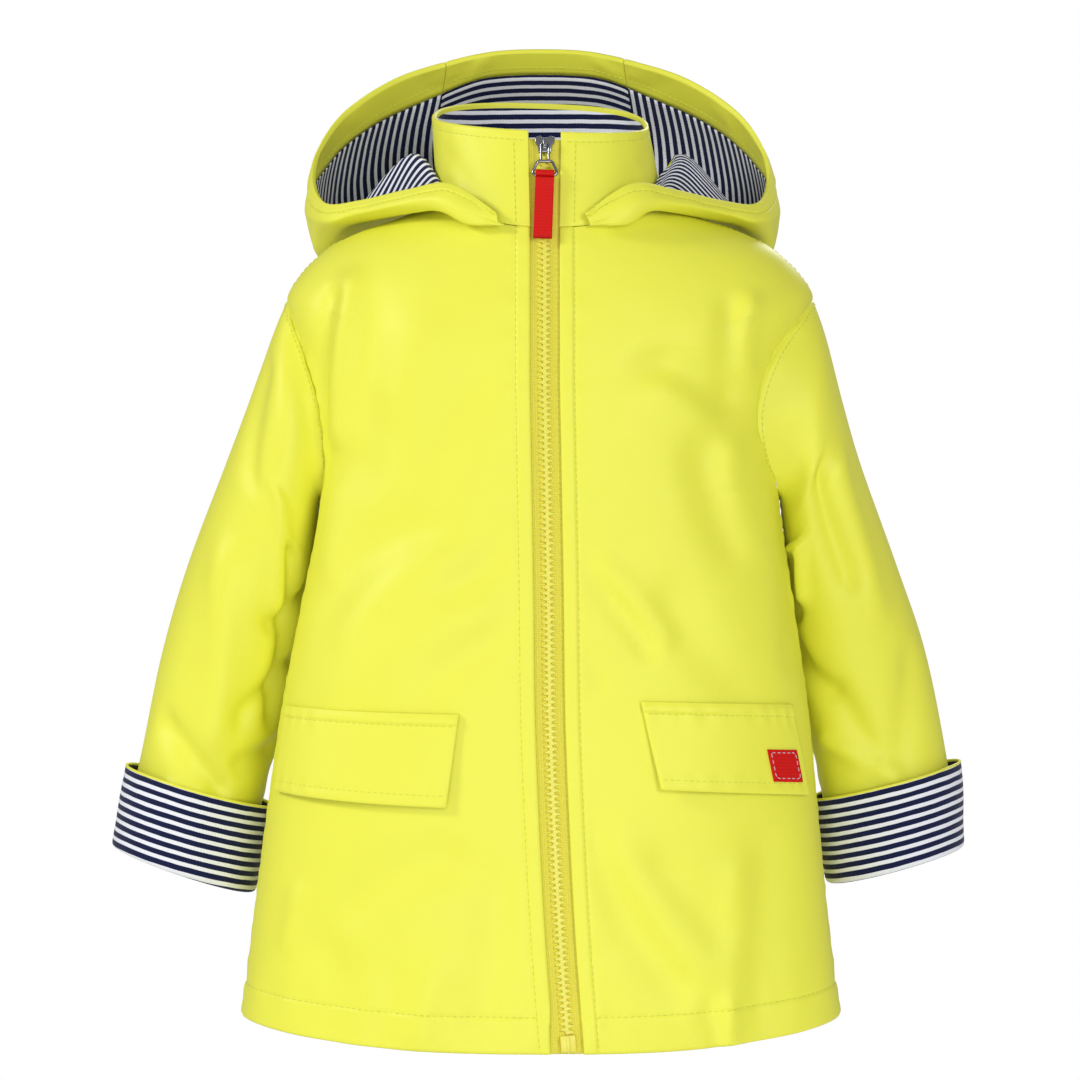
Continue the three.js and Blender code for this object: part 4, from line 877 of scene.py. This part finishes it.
rows = []
PANELS = {"right": (0, HOOD_SEAMS[0]), "centre": HOOD_SEAMS,
          "left": (HOOD_SEAMS[1], 2 * HOOD_MIDDLE)}
for key, (start, end) in PANELS.items():
    outside = partial(hood_shell, start=start, end=end)
    us = stops((start + SEAM_TRIM, start + 0.1, 4),
               (start + 0.1, end - 0.1, 48 if key == "centre" else 76),
               (end - 0.1, end - SEAM_TRIM, 4))
    panel = cloth(f"hood_{key}_cloth", outside, us,
                  stops((-1, -0.12, 6), (-0.12, 0.12, 8), (0.12, 0.84, 6), (0.84, 1.02, 6),
                        (1.02, 5, 60)), 1, wall=HOOD_SHELL)
    inner = cloth(f"hood_lining_{key}_cloth", partial(hood_inside, start=start, end=end),
                  us[(us > 0.3) & (us < 2 * HOOD_MIDDLE - 0.3)], stops((1, 2, 16), (2, 5, 48)), -1,
                  wall=LINING, stripes_along_v=key != "centre")
    cut_pieces += [dress(panel, "coat", "shell", shell_cloth, replaces=[f"hood_{key}"]),
                   dress(inner, "coat", "lining", jersey, replaces=[f"hood_lining_{key}"])]
    along = start + 0.05 + (end - start - 0.1) * fine
    rows += [trace(outside, along, stage, 1, SEWN_LIFT) for stage in (HOOD_STITCH, -0.72)]
    if key == "centre":
        rows += [trace(outside, place, 0.02 + 4.7 * fine, 1, SEWN_LIFT)
                 for place in (start + 0.1, end - 0.1)]
stitches("hood_stitches", rows, lime_thread)

# The zip: woven polyester tapes sewn behind the fronts, a chain of moulded acetal teeth that
# repeats every 3.1 mm, and a box at its foot. It is closed to the top of the collar.
TAPE_HALF, TAPE_BACK, TAPE_WALL = 12.5, 2.5, 0.7
TOOTH_PITCH = 3.1
BOX_AT, CHAIN_FOOT, CHAIN_TOP, ZIP_END = 0.09, 0.17, 12.74, 12.92  # body and collar rows


def zip_point(from_zip, line):
    row = np.minimum(line, NECK_ROW)
    x = from_zip + spline(RING["zip"], row)
    side = np.where(x < 0, RIGHT, LEFT)
    turn = turn_at(side, x, row)
    on_body = body_point(side, turn, row)
    on_collar = collar_clean(side * (math.pi - turn), np.clip(line - NECK_ROW, 0, None))
    return np.where((line <= NECK_ROW)[..., None], on_body, on_collar)


def tape_point(u, v):
    behind = -TAPE_BACK + 0.5 * ridge(np.abs(u) - 1.5, 1.6)
    return zip_point(u, v) + normals_of(zip_point, u, v) * behind[..., None]


# Woven polyester tape: dull, with ribs 0.7 mm apart along its length.
def woven_tape(name, colour, rib=0.7, shine=0.75, across="X"):
    material, tree, shader = surface(name, Roughness=shine, Specular_IOR_Level=0.2)
    cut = put(tree, "ShaderNodeUVMap", uv_map="cut").outputs["UV"]
    both = sum_of(tree, "MULTIPLY", ribs(tree, cut, 0.16 / (rib * MM), across),
                  ribs(tree, cut, 260.0, "Y" if across == "X" else "X"))
    join(tree, shader, Base_Color=darkened(tree, both, 0.82, colour),
         Normal=raised(tree, both, 0.5, 0.0003))
    return material


tape_weave = woven_tape("lime_zip_tape", "#FBF25A")
zip_vs = stops((0.001, 12, 150), (12, ZIP_END, 20))
for side in (RIGHT, LEFT):
    tape = cloth(f"zip_tape_{KEY[side]}_cloth", tape_point,
                 side * stops((0.15, 3.5, 8), (3.5, TAPE_HALF, 8)), zip_vs, side, wall=TAPE_WALL)
    cut_pieces.append(dress(tape, "coat", "tape", tape_weave,
                            replaces=[f"zip_tape_{KEY[side]}"]))


# Moulded acetal: smooth and waxy, in the yellow of the tape.
def moulded_plastic(name, colour):
    material, tree, shader = surface(name, IOR=1.48, Subsurface_Weight=0.15,
                                     Subsurface_Scale=0.002)
    flow = cloud(tree, 300.0)
    join(tree, shader, Base_Color=darkened(tree, flow, 0.9, colour),
         Roughness=between(tree, flow, 0.3, 0.45))
    return material


acetal = moulded_plastic("lime_acetal", "#EFE45A")
lines = np.linspace(CHAIN_FOOT, CHAIN_TOP, 2000)
places, outs = evenly(*trace(zip_point, 0.0, lines, 1, 0), TOOTH_PITCH / 2)


def tooth(part, stand, hand):
    for reach, wide, tall in ((0.5, 3.0, 2.1), (2.3, 1.9, 1.35)):
        size = Matrix.Diagonal((wide * MM, 2.2 * MM, tall * MM, 1))
        shift = Matrix.Translation((hand * reach * MM, 0, 0))
        made = bmesh.ops.create_cube(part, size=1, matrix=stand @ shift @ size)["verts"]
        edges = list({edge for vert in made for edge in vert.link_edges})
        bmesh.ops.bevel(part, geom=edges, offset=0.35 * MM, segments=1, profile=0.5,
                        affect="EDGES", material=-1)


stands = [stand_on(place - out * 0.9, ahead, out)
          for place, out, ahead in zip(places, outs, np.gradient(places, axis=0))]
teeth = repeated([partial(tooth, stand=stand, hand=1 if k % 2 else -1)
                  for k, stand in enumerate(stands)])
dress(finish("zip_teeth", teeth, smooth=False), "coat", "teeth", acetal, replaces=["zip_chain"])

box = bmesh.new()
(box_place, above), (box_out, _) = trace(zip_point, 0.0, np.array([BOX_AT, BOX_AT + 0.01]), 1, 0)
stand = stand_on(box_place, above - box_place, box_out)
for size, out in (((8, 3, 8.6), 0), ((2, 1.2, 7.6), 1.3)):
    bmesh.ops.create_cube(box, size=1, matrix=stand @ Matrix.Translation((0, out * MM, 0))
                          @ Matrix.Diagonal((*Vector(size) * MM, 1)))
bmesh.ops.bevel(box, geom=box.edges[:], offset=0.4 * MM, segments=2, profile=0.5,
                affect="EDGES", material=-1)
dress(finish("zip_foot_box", box), "coat", "teeth", acetal, replaces=["zip_box"])

# The slider and its pull: zinc castings plated with nickel. The slider's bridge holds a link,
# the link holds a flared frame, and a doubled strip of red webbing is looped through the frame.
SLIDER_TURN, SLIDER_Y, SLIDER_Z, SLIDER_LIFT = 0.226, -51.8, 33, 1.8
AXIS_OUT = SLIDER_LIFT + 1.3
SLIDER_PLACE = (Matrix.Translation(Vector((RING["zip"][NECK_ROW], SLIDER_Y, SLIDER_Z)) * MM)
                @ Matrix.Rotation(QUARTER - SLIDER_TURN, 4, "X"))


# Nickel plating over a tumbled casting: dark and bright by turns, with rounded unevenness.
def nickel_plate(name):
    material, tree, shader = surface(name, Metallic=1.0)
    tumble = cloud(tree, 420.0, 4.0)
    join(tree, shader, Base_Color=blend(tree, tumble, "#A6A8AD", "#7C7E84"),
         Roughness=between(tree, tumble, 0.12, 0.24), Normal=raised(tree, tumble, 0.1, 0.0002))
    return material


nickel = nickel_plate("nickel_plated_zinc")


def casting(shape, outline, low, high, edge=0.45):
    """A plate between two heights over the collar, from an outline in millimetres, rounded."""
    corners = bmesh.ops.create_circle(shape, cap_ends=True, segments=len(outline))["verts"]
    for corner, (x, y) in zip(corners, outline):
        corner.co = (x * MM, y * MM, low * MM)
    grown = bmesh.ops.extrude_face_region(shape, geom=list(corners[0].link_faces))["geom"]
    top = [each for each in grown if isinstance(each, bmesh.types.BMVert)]
    bmesh.ops.translate(shape, verts=top, vec=(0, 0, (high - low) * MM))
    solid = corners + top
    edges = [each for each in shape.edges if each.verts[0] in solid and each.verts[1] in solid]
    bmesh.ops.bevel(shape, geom=edges, offset=edge * MM, segments=3, profile=0.5,
                    affect="EDGES", material=-1)


slider = bmesh.new()
SLIDER_HALF_WIDE, SLIDER_HALF_TALL = 5.3, 4.7
right_half = [(0.62, -1), (0.74, -0.2), (1, 0.25), (1, 0.8), (0.6, 1), (0.12, 0.72)]
outline = [(x * SLIDER_HALF_WIDE, y * SLIDER_HALF_TALL) for x, y in right_half]
outline += [(-x, y) for x, y in reversed(outline)]
casting(slider, outline, -0.8, SLIDER_LIFT)
for low, high in ((-2.3, -1.3), (1.3, 2.3)):
    casting(slider, [(-1, low), (1, low), (1, high), (-1, high)], SLIDER_LIFT - 0.5, 4.6, 0.25)
casting(slider, [(-1, -2.3), (1, -2.3), (1, 2.3), (-1, 2.3)], 4.15, 5.25, 0.35)
bmesh.ops.recalc_face_normals(slider, faces=slider.faces)
slider.transform(SLIDER_PLACE)
dress(finish("zip_slider_casting", slider), "coat", "metal", nickel, replaces=["zip_slider"])


def wire(shape, centre, radius):
    """A closed bar of round section along a rounded outline."""
    smooth_line = []
    for before, corner, after in zip(centre, centre[1:] + centre[:1], centre[2:] + centre[:2]):
        before, corner, after = (np.array(p, float) for p in (before, corner, after))
        cut = [corner + (p - corner) * min(1.6 * radius / np.linalg.norm(p - corner), 0.5)
               for p in (before, after)]
        for t in (0, 0.25, 0.5, 0.75, 1):
            smooth_line.append((1 - t) ** 2 * cut[0] + 2 * t * (1 - t) * corner + t**2 * cut[1])
    rings, count = [], len(smooth_line)
    for k in range(count):
        ahead = smooth_line[(k + 1) % count] - smooth_line[k - 1]
        across = np.array([ahead[1], -ahead[0]]) / np.linalg.norm(ahead)
        ring = bmesh.ops.create_circle(shape, segments=10, radius=radius * MM)["verts"]
        for vert in ring:
            x, y, _ = vert.co
            flat = smooth_line[k] * MM + across * x
            vert.co = (flat[0], flat[1], AXIS_OUT * MM + y)
        rings.append(list({edge for vert in ring for edge in vert.link_edges}))
    for k in range(count):
        bmesh.ops.bridge_loops(shape, edges=rings[k] + rings[(k + 1) % count])


pull = bmesh.new()
wire(pull, [(-2.1, 0), (2.1, 0), (2.1, -10.2), (-2.1, -10.2)], 0.7)
wire(pull, [(-3.8, -10.3), (3.8, -10.3), (6.6, -16.4), (5.7, -18.2), (-5.7, -18.2),
            (-6.6, -16.4)], 0.8)
bmesh.ops.recalc_face_normals(pull, faces=pull.faces)
pull.transform(SLIDER_PLACE)
dress(finish("zip_pull_casting", pull), "pull", "metal", nickel, replaces=["zip_pull"])

TAB_WIDE, TAB_END, TAB_TILT, TAB_LAYER, LOOP_Y = 10, 53, 0.035, 0.95, -18.2
LOOP_OUT = 1.25 + TAB_LAYER


def tab_point(u, v):
    """The webbing's outer face: up the front, round the frame's lower wire, down the back."""
    low, side_low = -TAB_END, LOOP_Y - 6
    reach = np.interp(v, [0, 1, 1.3, 2.3, 2.6, 3.6], [0, 1, 2, 3, 4, 5])
    turn = np.clip(reach - 2, 0, 1) * math.pi
    y = np.interp(reach, [0, 1, 2, 3, 4, 5], [low, side_low, LOOP_Y - 1, LOOP_Y - 1, side_low, low])
    out = np.interp(reach, [0, 1, 2], [0.98, 1.0, LOOP_OUT])
    back = np.interp(reach, [3, 4, 5], [LOOP_OUT, 1.0, 0.98])
    in_loop = (reach > 2) & (reach < 3)
    y = np.where(in_loop, LOOP_Y + LOOP_OUT * np.sin(turn) - 1 + ease(0, 0.4, np.sin(turn)), y)
    z = np.where(reach < 2, out, np.where(in_loop, LOOP_OUT * np.cos(turn), -back))
    bow = 0.5 * np.sin((y - LOOP_Y) / 11)
    return np.stack([u, y, z + AXIS_OUT + bow], -1)


red_webbing = woven_tape("red_webbing", "#DC0F0A", rib=0.9, shine=0.6, across="Y")
tab = cloth("pull_tab_webbing", tab_point, np.linspace(-TAB_WIDE / 2, TAB_WIDE / 2, 15),
            stops((0, 1, 24), (1, 1.3, 5), (1.3, 2.3, 14), (2.3, 2.6, 5), (2.6, 3.6, 24)), -1,
            wall=0.85)
about = Vector((0, LOOP_Y, 0)) * MM
tab.data.transform(SLIDER_PLACE @ Matrix.Translation(about) @ Matrix.Rotation(-TAB_TILT, 4, "Z")
                   @ Matrix.Translation(-about))
dress(tab, "pull", "webbing", red_webbing, replaces=["pull_tab"])

# The pocket flaps: two layers of coated cloth, turned and sewn under a raised edge, hanging
# free below it. They stand off the front at the foot, and swing a little towards the sides.
# Each flap's corners, next to the zip and next to the side: degrees round the body, and row.
FLAP_TOP = {RIGHT: ((13.5, 2.99), (72.9, 3.01)), LEFT: ((14.1, 3.11), (63, 3.03))}
FLAP_FOOT = {RIGHT: ((15.1, 2.07), (70.2, 2.13)), LEFT: ((17.6, 2.24), (66.9, 2.09))}
FLAP_STAGES = [(0, 1.9), (0.05, 2.9), (0.1, 3.0), (0.125, 2.2), (0.15, 2.4), (0.5, 3.2), (1, 4.8)]
FLAP_WALL, FLAP_HIGH, FLAP_WIDE, FLAP_SEAM = 1.3, 54, 120, 6.5


def flap_base(side, u, down):
    """The front under a flap: u runs from the zip side to the outer end, down from the top."""
    ends = zip(*FLAP_TOP[side], *FLAP_FOOT[side])
    degrees, row = [(a + (b - a) * u) * (1 - down) + (c + (d - c) * u) * down
                    for a, b, c, d in ends]
    return body_point(side, np.radians(degrees), row)


def flap_point(side, u, down):
    wide, low = u * FLAP_WIDE, (1 - down) * FLAP_HIGH
    edge = np.minimum(wide, FLAP_WIDE - wide)
    out = (np.interp(down, *zip(*FLAP_STAGES)) - 0.5 * ridge(edge, 1.0) - 0.6 * ridge(low, 1.0)
           - 0.3 * ridge(low - FLAP_SEAM, 0.8) + puckers(wide, low - FLAP_SEAM, 0.15, 6)
           + 0.8 * np.sin(u * 5 + side) * down**2
           + puckers(wide, (down - 0.13) * FLAP_HIGH, 0.22, 6))
    normal = normals_of(partial(flap_base, side), u, down) * -side
    return flap_base(side, u, down) + normal * out[..., None]


rows = []
for side in (RIGHT, LEFT):
    face = partial(flap_point, side)
    flap = cloth(f"flap_{KEY[side]}_cloth", face,
                 stops((0, 0.02, 4), (0.02, 0.98, 60), (0.98, 1, 4)),
                 stops((0, 0.03, 3), (0.03, 0.17, 14), (0.17, 0.97, 30), (0.97, 1, 4)), -side,
                 wall=FLAP_WALL)
    cut_pieces.append(dress(flap, "coat", "shell", shell_cloth, replaces=[f"flap_{KEY[side]}"]))
    rows += [trace(face, 0.015 + 0.97 * fine, down, -side, lift)
             for down, lift in ((0.13, 0.08), (0.88, 0.06))]
stitches("flap_stitches", rows, lime_thread)

# The label: a small piece of red damask with a plain white border line, sewn flat on the left
# flap near its outer end.
LABEL_U, LABEL_V, LABEL_LIFT = (0.65, 0.92), (0.5, 0.86), 0.75


def label_point(u, v):
    u_at, v_at = [low + (high - low) * at for (low, high), at in ((LABEL_U, u), (LABEL_V, v))]
    face = partial(flap_point, LEFT)
    return face(u_at, v_at) - normals_of(face, u_at, v_at) * LABEL_LIFT


label = cloth("flap_label", label_point, stops((0, 0.03, 1), (0.03, 0.97, 14), (0.97, 1, 1)),
              stops((0, 0.03, 1), (0.03, 0.97, 16), (0.97, 1, 1)), -1, wall=0.4)
dress(label, "coat", "webbing", red_webbing, replaces=["label"])
border = np.array([(0.09, 0.1), (0.91, 0.1), (0.91, 0.9), (0.09, 0.9), (0.09, 0.1)])
border_u, border_v = [np.interp(fine * 4, range(5), border[:, k]) for k in (0, 1)]
stitches("label_stitches", [trace(label_point, border_u, border_v, -1, 0)], white_thread,
         slot="webbing")

# The room: a pale studio floor below the coat, a white surround, and four broad soft lamps.
FLOOR_Z = -0.62
SURROUND = 0.4
ground = bmesh.new()
bmesh.ops.create_circle(ground, cap_ends=True, segments=96, radius=0.95)
floor = finish("studio_floor", ground)
floor.data.transform(Matrix.Translation((0, 0, FLOOR_Z)))
pale, tree, shader = surface("pale_floor", Roughness=0.8)
join(tree, shader, Base_Color=blend(tree, cloud(tree, 2.0), "#F6F6F6", "#FAFAFA"))
floor.data.materials.append(pale)

scene = bpy.context.scene
scene.view_settings.view_transform = "Standard"
world = bpy.data.worlds.new("studio")
scene.world = world
world.use_nodes = True
backdrop = world.node_tree.nodes["Background"]
backdrop.inputs["Color"].default_value = (1, 1, 1, 1)
ray = put(world.node_tree, "ShaderNodeLightPath")
seen = between(world.node_tree, ray.outputs["Is Camera Ray"], SURROUND, 1.0)
world.node_tree.links.new(seen, backdrop.inputs["Strength"])


COAT_MIDDLE = Vector((0, 0, -0.2))
LAMPS = {  # place, size and watts
    "key_lamp": ((-1.8, -0.9, 0.9), 0.45, 19), "front_lamp": ((0.9, -2.2, 0.3), 0.8, 17),
    "low_lamp": ((-0.2, -2.0, -0.5), 0.7, 8), "back_lamp": ((0.6, 1.9, 1.1), 0.8, 18),
}
for name, (place, size, watts) in LAMPS.items():
    light = bpy.data.lights.new(name, "AREA")
    light.energy, light.size = watts, size
    stand = bpy.data.objects.new(name, light)
    scene.collection.objects.link(stand)
    stand.location = place
    stand.rotation_euler = (COAT_MIDDLE - stand.location).to_track_quat("-Z", "Y").to_euler()

CAMERA_BACK, CAMERA_X, CAMERA_Z = 2.0, -0.0055, -0.17875
FRAME_WIDE = 0.594  # metres across the picture at the coat
camera_data = bpy.data.cameras.new("photo_camera")
camera_data.sensor_width = 36
camera_data.lens = 36 * CAMERA_BACK / FRAME_WIDE
camera = bpy.data.objects.new("photo_camera", camera_data)
scene.collection.objects.link(camera)
camera.location = (CAMERA_X, -CAMERA_BACK, CAMERA_Z)
camera.rotation_euler = (QUARTER, 0, 0)
scene.camera = camera
